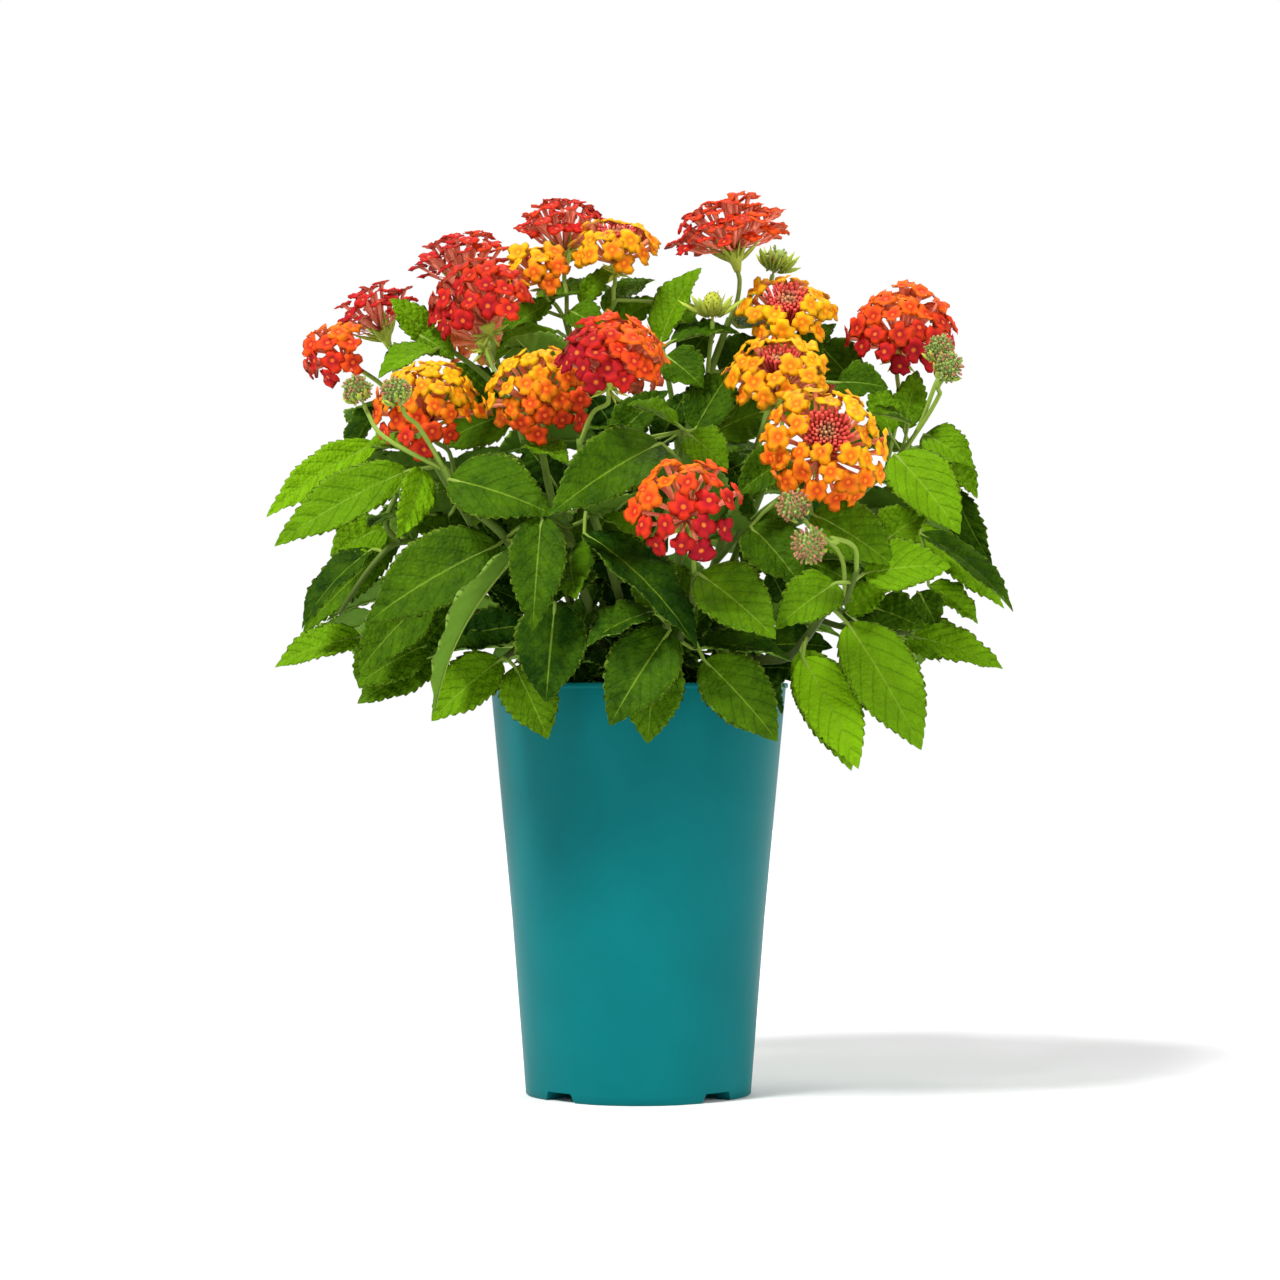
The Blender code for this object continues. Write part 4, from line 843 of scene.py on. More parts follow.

# Each stem's leaves: (base, tip, half width, the way its upper face looks, how bright its green is,
# which is partly the leaf's own green and partly painted light and shade, low for leaves in shade)
LEAVES = {
    "stem_left": [
        ((-117, -10, 288), (-166, -20, 257), 10, FRONT, 1.0),
        ((-112, 15, 308), (-130, 10, 278), 10, LEFT, 0.25),
        ((-99, -30, 284), (-121, -46, 287), 10, TOP, 0.9),
        ((-112, -18, 251), (-137, -26, 238), 12, FRONT, 0.75),
        ((-118, -30, 241), (-148, -36, 204), 11, LEFT, 0.2),
        ((-123, -23, 202), (-162, -26, 190), 10, SLANT, 0.85),
        ((-93, -48, 220), (-124, -62, 188), 14, FRONT, 0.4),
        ((-93, -44, 199), (-125, -46, 181), 12, FRONT, 0.5),
        ((-108, -18, 204), (-125, -6, 179), 11, FRONT, 0.5),
        ((-108, -36, 262), (-102, -30, 243), 9, UNDER, 0.7),
        ((-72, -16, 246), (-96, -40, 226), 14, FRONT, 0.25),
        ((-96, 2, 290), (-132, 24, 276), 13, TOP, 0.4),
        ((-84, -4, 276), (-72, 12, 244), 14, FRONT, 0.4),
        ((-104, 8, 304), (-130, 40, 298), 13, TOP, 0.45),
        ((-84, 0, 262), (-116, 40, 250), 15, TOP, 0.25),
        ((-84, -14, 214), (-124, 24, 206), 15, TOP, 0.4),
    ],
    "stem_front_left": [
        ((-102, -62, 276), (-162, -68, 243), 12.5, FRONT, 0.7),
        ((-96, -74, 277), (-107, -92, 246), 9, RIGHT, 0.85),
        ((-62, -88, 243), (-120, -88, 210), 18, FRONT, 0.35),
        ((-52, -97, 241), (-109, -102, 180), 15, UP_LEFT, 0.4),
        ((-61, -78, 192), (-92, -84, 165), 12.5, FRONT, 0.7),
        ((-59, -66, 198), (-94, -70, 193), 10, TOP, 0.2),
        ((-55, -82, 189), (-40, -88, 157), 13, FRONT, 0.55),
        ((-37, -94, 217), (-41, -102, 173), 16, FRONT, 0.15),
        ((-43, -104, 256), (-47, -114, 205), 12.5, FRONT, 0.3),
        ((-84, -90, 272), (-38, -106, 257), 16, FRONT, 0.35),
    ],
    "stem_centre": [
        ((10, -84, 288), (-39, -120, 257), 16, FRONT, 0.32),
        ((-24, -90, 248), (27, -116, 198), 16, RIGHT, 0.08),
        ((-16, -80, 256), (3, -84, 243), 8, TOP, 0.6),
        ((22, -66, 292), (40, -78, 277), 10, FRONT, 0.7),
        ((18, -62, 296), (-5, -64, 306), 10, TOP, 0.6),
        ((25, -42, 294), (41, -28, 320), 12, FRONT, 0.3),
        ((2, -44, 230), (26, -64, 208), 14, FRONT, 0.4),
    ],
    "stem_front": [
        ((27, -106, 230), (61, -122, 202), 15, FRONT, 0.5),
        ((7, -98, 213), (-23, -110, 199), 12, TOP, 0.25),
        ((14, -100, 205), (-13, -108, 163), 16, FRONT, 0.25),
        ((8, -88, 196), (4, -94, 155), 14, FRONT, 0.45),
        ((29, -90, 192), (62, -96, 156), 15, FRONT, 0.4),
        ((24, -70, 197), (68, -80, 194), 13, TOP, 0.2),
    ],
    "stem_front_right": [
        ((88, -96, 226), (61, -112, 206), 12, FRONT, 0.6),
        ((93, -80, 208), (126, -84, 152), 16.5, FRONT, 0.75),
        ((73, -80, 193), (98, -90, 144), 14, FRONT, 1.05),
        ((100, -90, 230), (139, -94, 234), 13, FRONT, 0.75),
    ],
    "stem_right": [
        ((125, -22, 248), (167, -30, 214), 11, TOP, 0.3),
        ((140, 6, 268), (157, 0, 234), 9, LEFT, 0.25),
        ((114, -40, 283), (143, -56, 248), 15, FRONT, 0.8),
        ((127, 0, 292), (149, -10, 278), 10, FRONT, 0.75),
        ((120, -26, 297), (103, -36, 302), 8, TOP, 0.5),
        ((108, -36, 243), (128, -46, 257), 12, FRONT, 0.7),
        ((103, -50, 215), (127, -62, 206), 11, FRONT, 0.35),
        ((124, -34, 222), (133, -38, 206), 8, FRONT, 0.3),
        ((122, -45, 202), (162, -50, 188), 10, SLANT, 0.75),
        ((118, -22, 201), (151, -26, 197), 11, FRONT, 0.65),
        ((129, -14, 225), (151, -12, 208), 9, RIGHT, 0.8),
        ((72, -8, 236), (98, -44, 224), 14, FRONT, 0.45),
        ((112, -8, 272), (146, 20, 262), 13, TOP, 0.3),
        ((82, -2, 246), (108, 8, 226), 15, FRONT, 0.25),
        ((102, -4, 272), (124, 40, 272), 13, TOP, 0.3),
        ((80, 4, 248), (114, 36, 236), 15, TOP, 0.45),
        ((92, -12, 208), (132, 22, 204), 15, TOP, 0.25),
    ],
    "stem_right_upper": [
        ((88, -22, 315), (111, -34, 313), 10, FRONT, 0.35),
        ((80, 14, 332), (99, 8, 311), 12, FRONT, 0.3),
        ((77, -86, 257), (110, -96, 230), 14, FRONT, 0.5),
        ((50, -66, 251), (73, -82, 225), 14, FRONT, 0.35),
        ((67, -66, 281), (44, -84, 266), 11, FRONT, 0.35),
        ((46, -24, 244), (78, -36, 230), 14, FRONT, 0.3),
        ((48, -8, 280), (24, 0, 264), 13, FRONT, 0.3),
        ((64, -8, 304), (92, 2, 294), 13, FRONT, 0.45),
    ],
    "stem_top_right": [
        ((10, -8, 333), (27, -12, 367), 12, LEFT, 0.7),
        ((14, -22, 333), (45, -20, 338), 10, TOP, 0.3),
        ((12, -32, 327), (29, -40, 313), 11, FRONT, 0.35),
        ((26, 2, 268), (52, -14, 256), 14, FRONT, 0.3),
        ((36, 6, 320), (58, 16, 334), 11, FRONT, 0.25),
        ((32, 6, 292), (60, 16, 304), 14, FRONT, 0.45),
        ((26, 10, 262), (58, 22, 276), 15, FRONT, 0.25),
        ((44, 8, 340), (68, 34, 336), 12, TOP, 0.4),
    ],
    "stem_top_centre": [
        ((-15, 12, 346), (7, 26, 362), 9, TOP, 0.5),
        ((8, 12, 351), (27, 0, 336), 9, FRONT, 0.5),
        ((-46, 26, 350), (-8, 34, 357), 11, TOP, 0.55),
        ((-31, -2, 347), (-15, -14, 338), 9, FRONT, 0.5),
        ((-36, -10, 338), (-64, -30, 326), 11, TOP, 0.55),
        ((-20, 8, 288), (-4, -22, 296), 13, TOP, 0.45),
        ((-28, 18, 302), (-54, 26, 314), 13, FRONT, 0.4),
        ((-12, 18, 262), (14, 30, 240), 15, FRONT, 0.3),
    ],
    "stem_top_left": [
        ((-92, -8, 333), (-110, -10, 353), 8, FRONT, 0.8),
        ((-90, -25, 330), (-116, -35, 318), 11, TOP, 0.75),
        ((-97, -16, 336), (-82, -24, 326), 8, FRONT, 0.6),
        ((-40, -2, 272), (-72, -22, 260), 14, FRONT, 0.4),
        ((-54, 4, 302), (-90, 12, 290), 15, FRONT, 0.45),
        ((-36, 8, 262), (-68, 16, 240), 15, FRONT, 0.25),
    ],
    "stem_centre_left": [
        ((-50, -62, 287), (-31, -76, 282), 10, TOP, 0.65),
        ((-30, -48, 232), (-54, -66, 205), 14, FRONT, 0.25),
        ((-22, -44, 238), (-4, -46, 266), 13, FRONT, 0.3),
    ],
}
BENDS = [(0, 0), (6, 0), (-6, 0), (0, 8), (0, -8), (12, 0), (-12, 0), (8, 10), (8, -10), (-8, 10),
         (-8, -10), (18, 0), (-18, 0), (0, 16), (0, -16), (16, 14), (16, -14), (-16, 14), (-16, -14),
         (26, 0), (-26, 0), (0, 26), (0, -26), (26, 18), (26, -18), (-26, 18), (-26, -18),
         (36, 0), (-36, 0), (36, 20), (36, -20), (-36, 20), (-36, -20), (0, 38), (0, -38)]

HIDDEN_SEED = 7
BACK_TRUNK_STEPS = (2,)
BACK_BRANCH_STEPS = (2, 26)
INNER_STEPS = {
    "stem_top_left": (70,),
    "stem_top_centre": (45,),
    "stem_top_right": (60, 105),
    "stem_centre": (40,),
    "stem_centre_left": (50,),
    "stem_right_upper": (80,),
    "stem_left": (75,),
    "stem_right": (60,),
    "stem_back_centre": (50,),
}
PAIR_WIDTH = 0.29
PAIR_STALKS = (9, 14)
PAIR_LENGTHS = (46, 62)
PAIR_TONE = 0.4
PAIR_DROOPS = (-0.5, 0.1)
PAIR_OUTS = (0.4, 0.9)
PAIR_AHEAD = 0.3
PAIR_FACING = 0.5

# Small leaves deep among each stem's branches: (base, tip, half width, how bright its green is, which
# is partly their own green and partly painted light and shade, the darkest standing in for deep shade)
FILLERS = {
    "stem_right": [
        ((112, -10, 292), (105, 2, 315), 8, 0.7),
        ((118, -6, 294), (124, 0, 321), 8, 0.6),
        ((136, 0, 284), (151, -4, 264), 7, 0.8),
        ((118, -8, 252), (163, -8, 215), 9, 0.9),
        ((92, -56, 213), (112, -60, 225), 8, 0.8),
    ],
    "stem_centre": [
        ((-12, -16, 288), (13, -20, 312), 10, 0.3),
        ((-6, -8, 286), (-22, -4, 311), 10, 0.1),
        ((8, -12, 286), (22, -8, 312), 8, 0.2),
        ((-4, -30, 214), (-20, -34, 232), 8, 0.05),
        ((-8, -34, 228), (-27, -30, 247), 10, 0.05),
        ((-2, -30, 214), (4, -28, 234), 9, 0.05),
        ((-12, -30, 238), (8, -30, 226), 9, 0.05),
        ((4, -36, 262), (24, -32, 258), 9, 0.1),
    ],
    "stem_left": [
        ((-106, -12, 246), (-150, -12, 204), 10, 0.5),
        ((-82, -40, 214), (-100, -44, 192), 9, 0.4),
        ((-84, -28, 246), (-102, -30, 256), 8, 0.4),
        ((-88, -36, 193), (-125, -42, 173), 11, 0.5),
        ((-60, -6, 236), (-76, -10, 263), 9, 0.1),
    ],
    "stem_front_left": [
        ((-50, -56, 207), (-84, -60, 201), 10, 0.05),
        ((-46, -50, 214), (-66, -54, 224), 8, 0.1),
        ((-48, -48, 216), (-71, -44, 229), 9, 0.05),
        ((-52, -62, 232), (-72, -58, 238), 9, 0.1),
    ],
    "stem_top_centre": [
        ((-14, 14, 338), (9, 20, 353), 8, 0.6),
        ((-26, 14, 350), (-10, 14, 368), 6, 0.7),
    ],
    "stem_top_left": [
        ((-60, 4, 336), (-37, 8, 353), 8, 0.5),
        ((-62, 2, 306), (-82, 0, 324), 8, 0.4),
    ],
    "stem_top_right": [
        ((18, 2, 320), (34, 6, 341), 8, 0.3),
    ],
    "stem_front_right": [
        ((56, -36, 198), (86, -44, 198), 10, 0.15),
        ((52, -28, 188), (80, -32, 187), 8, 0.05),
        ((72, -70, 196), (95, -76, 143), 13, 0.8),
    ],
    "stem_right_upper": [
        ((58, -26, 232), (66, -20, 216), 8, 0.1),
        ((66, -40, 262), (86, -44, 262), 8, 0.1),
        ((62, 0, 318), (88, 4, 342), 9, 0.3),
        ((40, -16, 260), (30, -10, 282), 9, 0.1),
    ],
    "stem_centre_left": [
        ((-30, -30, 262), (-44, -26, 280), 9, 0.1),
        ((-36, -34, 268), (-52, -30, 290), 9, 0.15),
        ((-24, -34, 238), (-4, -30, 250), 9, 0.05),
    ],
}


def branch_paths(name):
    """The centre line of each branch of a stem; the trunk starts straight down in the soil."""
    trunk, *others = [[real_place(place) for place in branch] for branch in BRANCHES[name]]
    foot = trunk[0].copy()
    foot.z = (SOIL_TOP + TRUNK_ABOVE_SOIL) * MM
    root = foot.copy()
    root.z = (SOIL_TOP - HOLE_DEPTH + GAP) * MM
    paths = [[root, foot, *trunk[1:]], *others]
    for path in paths:
        path[-1] += (path[-1] - path[-2]).normalized() * TIP_PAST * MM
    return paths


def half_width_at(u):
    """A lantana blade's half width along its length, 1 at its widest."""
    peak = WIDEST_RISE / (WIDEST_RISE + WIDEST_FALL)
    widest = peak**WIDEST_RISE * (1 - peak) ** WIDEST_FALL
    return u**WIDEST_RISE * (1 - u) ** WIDEST_FALL / widest


def blade_axes(base, tip, facing, bend):
    """The blade's length, and its directions along, across and out of its upper face."""
    along = (tip - base).normalized()
    normal = Vector(facing)
    normal = (normal - along * normal.dot(along)).normalized()
    across = normal.cross(along)
    pitch, yaw = (math.radians(angle) for angle in bend)
    turn = Matrix.Rotation(yaw, 3, normal) @ Matrix.Rotation(pitch, 3, across)
    return (tip - base).length, turn @ along, turn @ across, turn @ normal


def blade_point(base, axes, half, u, v):
    """A point of the blade's middle surface: u runs from base to tip, v from edge to edge."""
    length, along, across, normal = axes
    out = half * MM * half_width_at(u)
    rise = ARCH * length * 4 * u * (1 - u) + FOLD * out * abs(v)
    return base + along * (u * length) + across * (v * out) + normal * rise


def back_along(path, distance):
    """The point that far back along a path from its end, and the way the path runs there."""
    for low, high in zip(path[-2::-1], path[:0:-1]):
        step = high - low
        if distance < step.length:
            break
        distance -= step.length
    return high - step.normalized() * distance, step.normalized()


def pair_of_leaves(point, ahead, draw):
    """Rows for two opposite leaves that droop outwards from a point of a branch."""
    outwards = Vector((point.x, point.y, 0)).normalized()
    sideways = ahead.cross(Vector((0, 0, 1))).normalized()
    rows = []
    for side in (1, -1):
        droop = Vector((0, 0, draw.uniform(*PAIR_DROOPS)))
        aim = outwards * draw.uniform(*PAIR_OUTS) + sideways * side + ahead * PAIR_AHEAD + droop
        aim.normalize()
        base = point + aim * draw.uniform(*PAIR_STALKS) * MM
        length = draw.uniform(*PAIR_LENGTHS)
        facing = outwards * PAIR_FACING + Vector((0, 0, 1))
        rows.append((base, base + aim * length * MM, length * PAIR_WIDTH, facing, PAIR_TONE))
    return rows


def hidden_leaves():
    """Each stem's leaves on the far side, in pairs near branch tips, and along the inner trunks."""
    draw = random.Random(HIDDEN_SEED)
    rows = {stem: [] for stem in BRANCHES}
    for stem in [stem for stem in BRANCHES if stem.startswith("stem_back")]:
        for number, path in enumerate(stem_paths[stem]):
            ahead = (path[-1] - path[-2]).normalized()
            for back in BACK_TRUNK_STEPS if number == 0 else BACK_BRANCH_STEPS:
                rows[stem] += pair_of_leaves(path[-1] - ahead * back * MM, ahead, draw)
    for stem, steps in INNER_STEPS.items():
        for back in steps:
            point, ahead = back_along(stem_paths[stem][0], back * MM)
            rows[stem] += pair_of_leaves(point, ahead, draw)
    return rows


def grown_bend(tree, base, tip, half, facing):
    """The bend that the solid leaf grew with, found from its corners; none where it found no room."""
    found = []
    for order, bend in enumerate(BENDS):
        axes = blade_axes(base, tip, facing, bend)
        teeth = max(round(axes[0] / MM / SOLID_TOOTH_PITCH), 2)
        corners = [blade_point(base, axes, half, 1, 0)]
        for tooth in range(teeth):
            for side in (1, -1):
                u = (tooth + 0.25) / (teeth + 0.35)
                corners.append(blade_point(base, axes, half, u, (1 - SOLID_TOOTH_DEPTH) * side))
                corners.append(blade_point(base, axes, half, (tooth + 0.9) / (teeth + 0.35), side))
        for u in MIDRIB_STATIONS:
            lift = axes[3] * SOLID_THICKNESS / 2 * MM
            middle = blade_point(base, axes, half, u, 0)
            corners += [middle + lift, middle - lift]
        hits = sum(tree.find(corner)[2] < MATCH * MM for corner in corners)
        found.append((hits, -order, axes))
    hits, _, axes = max(found, key=lambda row: row[:2])
    return axes if hits >= FEWEST_MATCHES else None


def smooth_line(points, steps):
    """Points along a soft line through a few places."""
    last = len(points) - 1
    ways = [(points[min(k + 1, last)] - points[max(k - 1, 0)]).normalized() for k in range(last + 1)]
    line = [points[0]]
    for k in range(last):
        third = (points[k + 1] - points[k]).length / 3
        line += interpolate_bezier(points[k], points[k] + ways[k] * third,
                                   points[k + 1] - ways[k + 1] * third, points[k + 1], steps)[1:]
    return line


def nearest_point(lines, place):
    """The point of a stem's branches that lies nearest to a place."""
    return min([point for line in lines for point in line], key=lambda point: (point - place).length)


def add_line(curve, line, start_radius, end_radius, look=YOUNG):
    """A round shoot along a line, which tapers evenly."""
    spline = curve.splines.new("POLY")
    spline.material_index = look
    spline.points.add(len(line) - 1)
    for k, (point, place) in enumerate(zip(spline.points, line)):
        point.co = (*place, 1)
        point.radius = start_radius + (end_radius - start_radius) * k / (len(line) - 1)


def blade(bm, base, axes, half, tone_and_shade, columns, draw):
    """A thin toothed blade, quilted between its veins; returns points of its midrib."""
    length, along, across, normal = axes
    teeth = round(length / MM / TOOTH_PITCH)
    stations = []
    for tooth in range(teeth):
        stations += [((tooth + phase) / teeth, inset) for phase, inset in TOOTH_SHAPE]
    stations.append((1, 0))
    last = len(stations) - 1
    droop = draw.uniform(*BLADE_DROOPS) * length
    twist = draw.uniform(-BLADE_TWIST, BLADE_TWIST)
    waves = draw.uniform(*WAVE_COUNTS)
    start = draw.uniform(0, 6)
    matt = draw.random()
    midrib = []
    for upper in (True, False):
        sheet = bmesh.new()
        sheet_layer = sheet.verts.layers.float_color.new("blade")
        made = bmesh.ops.create_grid(sheet, x_segments=last, y_segments=2 * columns, size=0.5)
        for corner in made["verts"]:
            station = round((corner.co.x + 0.5) * last)
            u, inset = stations[station]
            v = round(corner.co.y * 2 * columns) / columns
            out = half * MM * half_width_at(u)
            soft = min(1, SOFT_ENDS * u, SOFT_ENDS * (1 - u))
            bite = min(inset * TOOTH_DEPTH * MM, out * 0.5) * soft * v**4
            veins = VEINS * (u - VEIN_SWEEP * abs(v) * (1 + 0.4 * abs(v)) * out / length)
            quilt = PUFF * MM * soft * math.sin(math.pi * veins) ** 2
            quilt *= (abs(v) * (1.1 - abs(v)) * 4) ** 0.5
            phase = waves * 2 * math.pi * u + start + (2 if v > 0 else 0)
            wave = WAVE * MM * soft * v**2 * math.sin(phase)
            lift = BLADE_THICKNESS / 2 * MM * soft * (1 - v**6) * (1 if upper else -1)
            rise = ARCH * length * 4 * u * (1 - u) - droop * u**3 + twist * v * out * u
            rise += CUP * out * (0.5 * abs(v) + 0.5 * v**2) + quilt + wave + lift
            side = math.copysign(abs(v) * out - bite, v)
            corner.co = base + along * (u * length) + across * side + normal * rise
            # Each leaf's tone, partly its own green and partly painted light and shade, goes into the
            # blade's data
            corner[sheet_layer] = (veins / VEIN_SCALE + VEIN_START, abs(v), tone_and_shade**TONE_GAMMA, matt)
            if upper and v == 0 and station % MIDRIB_EVERY == 0:
                midrib.append(corner.co - normal * (lift * 2 + MIDRIB_SINK * MM))
        if not upper:
            bmesh.ops.reverse_faces(sheet, faces=sheet.faces)
        for face in sheet.faces:
            face.material_index = UPPER_SIDE if upper else UNDER_SIDE
        mesh = bpy.data.meshes.new("sheet")
        sheet.to_mesh(mesh)
        sheet.free()
        bm.from_mesh(mesh)
        bpy.data.meshes.remove(mesh)
    return sorted(midrib, key=lambda point: (point - base).length)


def leaf_look(name, deep, bright, rib, roughness, relief):
    """A leaf surface: its green by tone and painted light, a pale midrib, a painted edge highlight,
    painted vein shade, a net of cells.
    """
    look, tree, shader = plain_look(name, bright, roughness, Specular_IOR_Level=0.04)
    data = node(tree, "ShaderNodeAttribute", (-1600, 200), attribute_name="blade")
    parts = node(tree, "ShaderNodeSeparateColor", (-1400, 200))
    count = node(tree, "ShaderNodeMath", (-1200, 300), operation="MULTIPLY_ADD")
    count.inputs[1].default_value = VEIN_SCALE
    count.inputs[2].default_value = -VEIN_SCALE * VEIN_START
    across = node(tree, "ShaderNodeMath", (-1000, 300), operation="PINGPONG")
    across.inputs[1].default_value = 0.5
    # The lateral veins are darkened towards the deep green as painted shade in their creases
    crease = node(tree, "ShaderNodeMapRange", (-800, 300), interpolation_type="SMOOTHSTEP",
                  From_Max=0.12, To_Min=0.25, To_Max=0)
    middle = node(tree, "ShaderNodeMapRange", (-800, 0), interpolation_type="SMOOTHSTEP",
                  From_Max=0.045, To_Min=0.5, To_Max=0)
    place = node(tree, "ShaderNodeTexCoord", (-1600, -300))
    cells = node(tree, "ShaderNodeTexVoronoi", (-1200, -300), Scale=620)
    patch = node(tree, "ShaderNodeTexNoise", (-1200, -600), Scale=95, Detail=6, Roughness=0.72)
    # Each leaf's tone, with its painted light and shade, plus random patches of green
    tone_and_shade = node(tree, "ShaderNodeMath", (-900, -500), operation="MULTIPLY_ADD")
    tone_and_shade.inputs[1].default_value = 0.7
    green = node(tree, "ShaderNodeMapRange", (-700, -500), From_Min=0.35, From_Max=1.35)
    body = node(tree, "ShaderNodeMix", (-500, -300), data_type="RGBA", A=(*deep, 1), B=(*bright, 1))
    crease_shaded = node(tree, "ShaderNodeMix", (-300, 100), data_type="RGBA", B=(*deep, 1))
    ribbed = node(tree, "ShaderNodeMix", (-150, 0), data_type="RGBA", B=(*rib, 1))
    # The margins are lightened towards the pale rib green as a painted highlight on the lit teeth
    edge_highlight = node(tree, "ShaderNodeMapRange", (-800, -150), interpolation_type="SMOOTHSTEP",
                From_Min=0.88, To_Max=0.45)
    edge_lit = node(tree, "ShaderNodeMix", (0, 0), data_type="RGBA", B=(*rib, 1))
    height = node(tree, "ShaderNodeMath", (-400, 400), operation="MULTIPLY_ADD")
    height.inputs[1].default_value = -1.2
    quilt = node(tree, "ShaderNodeBump", (-200, -400), Strength=relief, Distance=0.0006)
    sheen = node(tree, "ShaderNodeMapRange", (0, -700), To_Min=roughness - SHEEN_SCATTER,
                 To_Max=roughness + SHEEN_SCATTER)
    wire(
        tree,
        (data, "Color", parts, "Color"),
        (parts, "Red", count, 0),
        (count, "Value", across, 0),
        (across, "Value", crease, "Value"),
        (parts, "Green", middle, "Value"),
        (place, "Object", cells, "Vector"),
        (place, "Object", patch, "Vector"),
        (patch, "Fac", tone_and_shade, 0),
        (parts, "Blue", tone_and_shade, 2),
        (tone_and_shade, "Value", green, "Value"),
        (green, "Result", body, "Factor"),
        (crease, "Result", crease_shaded, "Factor"),
        (body, "Result", crease_shaded, "A"),
        (middle, "Result", ribbed, "Factor"),
        (crease_shaded, "Result", ribbed, "A"),
        (parts, "Green", edge_highlight, "Value"),
        (edge_highlight, "Result", edge_lit, "Factor"),
        (ribbed, "Result", edge_lit, "A"),
        (edge_lit, "Result", shader, "Base Color"),
        (crease, "Result", height, 0),
        (cells, "Distance", height, 2),
        (height, "Value", quilt, "Height"),
        (quilt, "Normal", shader, "Normal"),
        (data, "Alpha", sheen, "Value"),
        (sheen, "Result", shader, "Roughness"),
    )
    return look


upper_look = leaf_look("leaf_upper", LEAF_DEEP, LEAF_BRIGHT, LEAF_RIB, 0.55, 0.9)
under_look = leaf_look("leaf_under", UNDER_DEEP, UNDER_BRIGHT, UNDER_RIB, 0.6, -0.6)
young_look = plain_look("young_shoot", SHOOT_GREEN, 0.5, Specular_IOR_Level=0.12)[0]
woody_look, tree, shader = plain_look("green_stem", STEM_GREEN, 0.5, Specular_IOR_Level=0.12)
place = node(tree, "ShaderNodeTexCoord", (-1000, 0))
height = node(tree, "ShaderNodeSeparateXYZ", (-800, 0))
woody = node(tree, "ShaderNodeMapRange", (-600, 0), From_Min=0.175, From_Max=0.27)
streak = node(tree, "ShaderNodeTexNoise", (-800, -300), Scale=260, Detail=4)
bark = node(tree, "ShaderNodeMix", (-300, 0), data_type="RGBA", A=(*STEM_BROWN, 1),
            B=(*STEM_GREEN, 1))
ridges = node(tree, "ShaderNodeBump", (-300, -300), Strength=0.4, Distance=0.0005)
wire(
    tree,
    (place, "Object", height, "Vector"),
    (height, "Z", woody, "Value"),
    (woody, "Result", bark, "Factor"),
    (bark, "Result", shader, "Base Color"),
    (place, "Object", streak, "Vector"),
    (streak, "Fac", ridges, "Height"),
    (ridges, "Normal", shader, "Normal"),
)

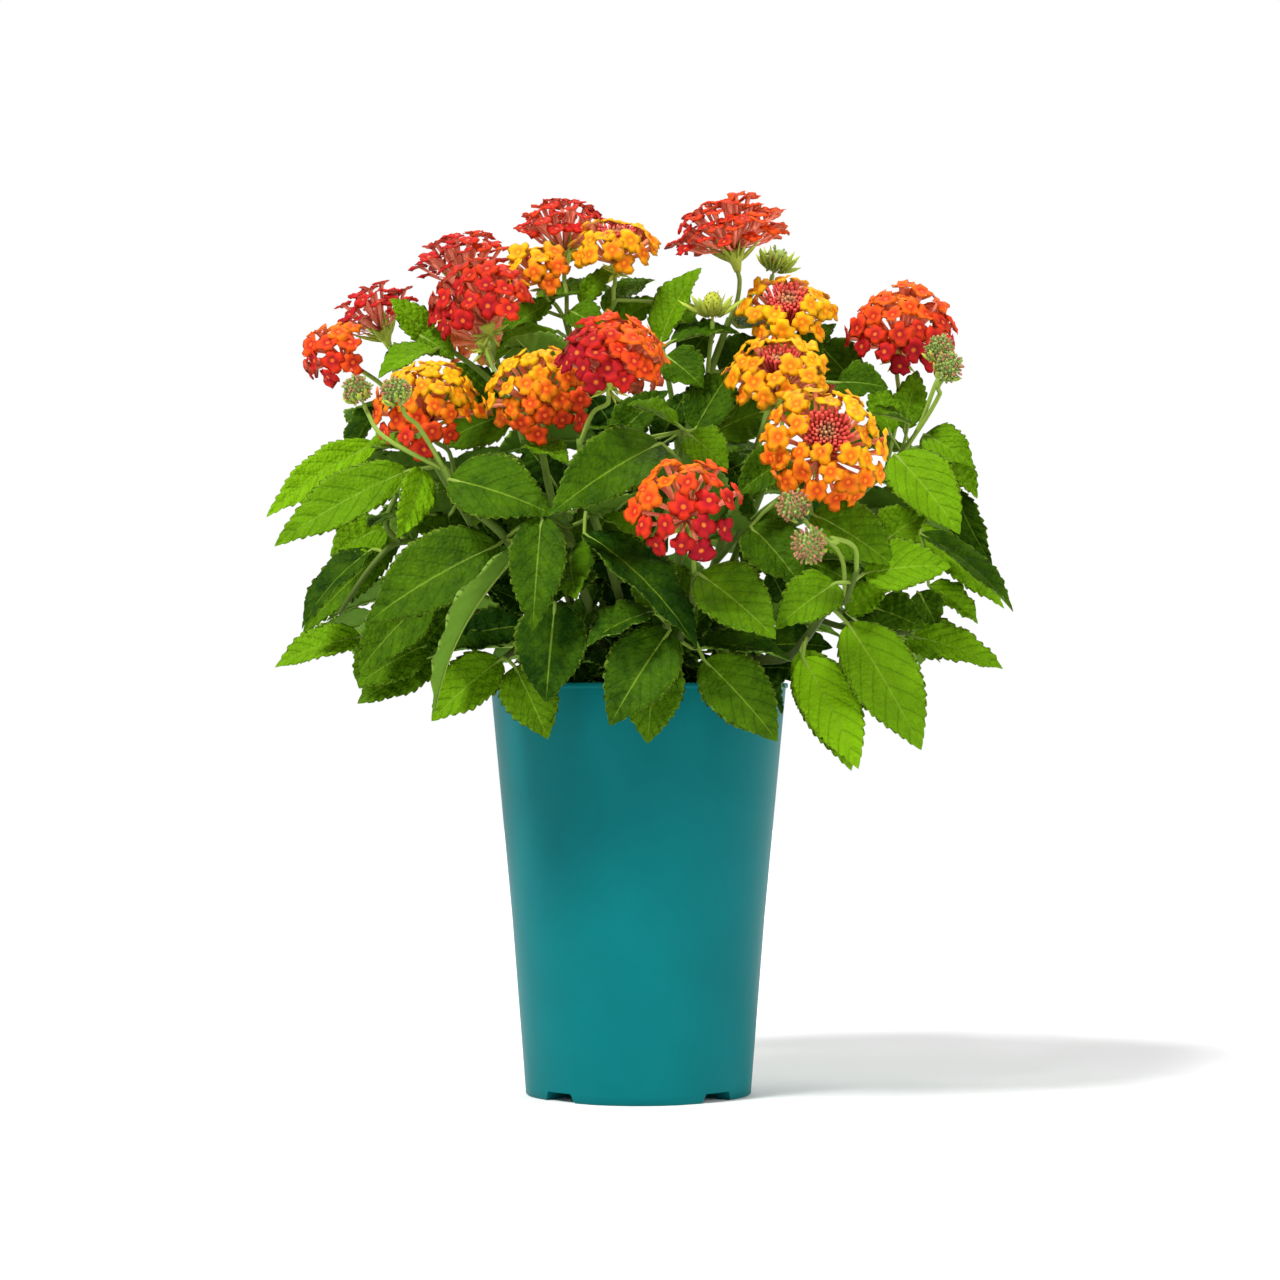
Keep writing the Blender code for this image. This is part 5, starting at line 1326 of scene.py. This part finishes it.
looks_of_plant = [woody_look, upper_look, under_look, young_look]
stem_paths = {name: branch_paths(name) for name in BRANCHES}
leaf_rows = hidden_leaves()
for stem, rows in LEAVES.items():
    for base, tip, half, facing, tone_and_shade in rows:
        leaf_rows[stem].append((real_place(base), real_place(tip), half, facing, tone_and_shade))
for number, (stem, paths) in enumerate(stem_paths.items()):
    draw = random.Random(LOOK_SEED + number)
    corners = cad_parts[stem].data.vertices
    tree = KDTree(len(corners))
    for index, corner in enumerate(corners):
        tree.insert(corner.co, index)
    tree.balance()
    shoots = bpy.data.curves.new(stem + "_shoots", "CURVE")
    shoots.dimensions = "3D"
    shoots.bevel_depth = MM
    shoots.bevel_resolution = 2
    shoots.use_fill_caps = True
    for look in looks_of_plant:
        shoots.materials.append(look)
    lines = [smooth_line(path, 8) for path in paths]
    add_line(shoots, lines[0], TRUNK_RADIUS, TRUNK_TIP_RADIUS, WOODY)
    for line in lines[1:]:
        add_line(shoots, line, BRANCH_RADIUS, BRANCH_TIP_RADIUS, WOODY)
    carried = [(row[2], row[3], row[6], row[4] * row[7]) for row in BLOOMS if row[1] == stem]
    carried += [(row[2], row[3], row[5], row[4]) for row in BUD_HEADS if row[1] == stem]
    for points, centre, looks, radius in carried:
        looks = Vector(looks).normalized()
        seat = bloom_seat(real_place(centre), looks, radius)
        stalk = [*[real_place(point) for point in points], seat - looks * STALK_LEAD * MM, seat]
        add_line(shoots, smooth_line(stalk, 6), STALK_RADIUS, STALK_RADIUS)
    foliage = bmesh.new()
    foliage.verts.layers.float_color.new("blade")
    for base, tip, half, facing, tone_and_shade in leaf_rows[stem]:
        axes = grown_bend(tree, base, tip, half, facing)
        if axes:
            midrib = blade(foliage, base, axes, half, tone_and_shade, COLUMNS, draw)
            petiole = smooth_line([nearest_point(lines, base), base, *midrib[1:3]], 3)
            add_line(shoots, petiole, PETIOLE_RADIUS, MIDRIB_RADIUS)
            add_line(shoots, midrib[1:], MIDRIB_RADIUS, MIDRIB_TIP_RADIUS)
    for base, tip, half, tone_and_shade in FILLERS.get(stem, []):
        base = real_place(base)
        axes = blade_axes(base, real_place(tip), FRONT, (0, 0))
        midrib = blade(foliage, base, axes, half, tone_and_shade, SMALL_COLUMNS, draw)
        stalk = [nearest_point(lines, base), base, *midrib[1:]]
        add_line(shoots, stalk, SMALL_STALK_RADIUS, MIDRIB_TIP_RADIUS)
    for step in range(AXIL_PAIRS):
        reach = draw.uniform(*AXIL_SCATTER) * AXIL_STEP * (step + AXIL_START)
        point, ahead = back_along(lines[0][::-1], reach * MM)
        turn = draw.uniform(0, math.pi)
        for way in (around(-ahead, AXIL_LEAN, turn), around(-ahead, AXIL_LEAN, turn + math.pi)):
            length = draw.uniform(*AXIL_LENGTHS)
            base = point + way * AXIL_OUT * MM
            axes = blade_axes(base, base + way * length * MM, -ahead + Vector((0, 0, 1)), (0, 0))
            # A low tone: painted shade deep among the trunks
            tone_and_shade = draw.uniform(*AXIL_TONES_IN_SHADE)
            midrib = blade(foliage, base, axes, length * PAIR_WIDTH, tone_and_shade, SMALL_COLUMNS, draw)
            add_line(shoots, [point, base, *midrib[1:]], SMALL_STALK_RADIUS, MIDRIB_TIP_RADIUS)
    held = bpy.data.objects.new(stem + "_shoots", shoots)
    bpy.context.scene.collection.objects.link(held)
    graph = bpy.context.evaluated_depsgraph_get()
    wood = bpy.data.meshes.new_from_object(held.evaluated_get(graph))
    foliage.from_mesh(wood)
    bpy.data.objects.remove(held)
    bmesh.ops.remove_doubles(foliage, verts=foliage.verts, dist=1e-6)
    plant = finished(foliage, stem.replace("stem", "shoot"), looks_of_plant)
    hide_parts(stem)
    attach(plant, "root")


# Photo studio: a plain pale floor that runs out of sight under three wide, soft lights, from the upper
# left, the right and behind, and a backdrop that is white all round and dim overhead. The camera stands
# level with the rim of the pot and looks slightly upwards.
FLOOR_REACH = 3
FLOOR_PALE = (0.85, 0.85, 0.85)
CAMERA_ACROSS = 0.0007
CAMERA_LENS = 95
CAMERA_FILM = 36
CAMERA_TILT = 0.98
BACKDROP_TOP = (0.27, 0.45)
BACKDROP_LIGHT = 1
OVERHEAD_LIGHT = 0.12
# (where from, how wide in degrees, strength)
LAMPS = [
    ((-1.1, -1.1, 1.95), 16, 3.7),
    ((1.7, -1.2, 1.05), 29, 1.15),
    ((0.2, 1.2, 1.95), 34, 1.7),
]

floor_shape = bmesh.new()
bmesh.ops.create_grid(floor_shape, x_segments=1, y_segments=1, size=FLOOR_REACH)
floor_look = plain_look("studio_floor", FLOOR_PALE, 0.9, Specular_IOR_Level=0.1)[0]
floor = finished(floor_shape, "studio_floor", [floor_look])

for number, (spot, width, strength) in enumerate(LAMPS):
    lamp = bpy.data.lights.new(f"soft_lamp_{number}", "SUN")
    lamp.angle = math.radians(width)
    lamp.energy = strength
    held = bpy.data.objects.new(lamp.name, lamp)
    held.location = spot
    held.rotation_euler = (-Vector(spot)).to_track_quat("-Z", "Y").to_euler()
    bpy.context.scene.collection.objects.link(held)

world = bpy.data.worlds.new("studio_air")
world.use_nodes = True
air = world.node_tree.nodes["Background"]
air.inputs["Color"].default_value = (1, 1, 1, 1)
way = node(world.node_tree, "ShaderNodeTexCoord", (-800, 0))
depth = node(world.node_tree, "ShaderNodeSeparateXYZ", (-600, 0))
backdrop = node(world.node_tree, "ShaderNodeMapRange", (-400, 0), interpolation_type="SMOOTHSTEP",
                From_Min=BACKDROP_TOP[0], From_Max=BACKDROP_TOP[1],
                To_Min=BACKDROP_LIGHT, To_Max=OVERHEAD_LIGHT)
wire(
    world.node_tree,
    (way, "Generated", depth, "Vector"),
    (depth, "Z", backdrop, "Value"),
    (backdrop, "Result", air, "Strength"),
)
bpy.context.scene.world = world

view = bpy.data.cameras.new("photo_camera")
view.lens = CAMERA_LENS
view.sensor_width = CAMERA_FILM
camera = bpy.data.objects.new("photo_camera", view)
camera.location = (CAMERA_ACROSS, -VIEW_DISTANCE * MM, VIEW_HEIGHT * MM)
camera.rotation_euler = (math.radians(90 + CAMERA_TILT), 0, 0)
bpy.context.scene.collection.objects.link(camera)
bpy.context.scene.camera = camera
bpy.context.scene.view_settings.view_transform = "Standard"
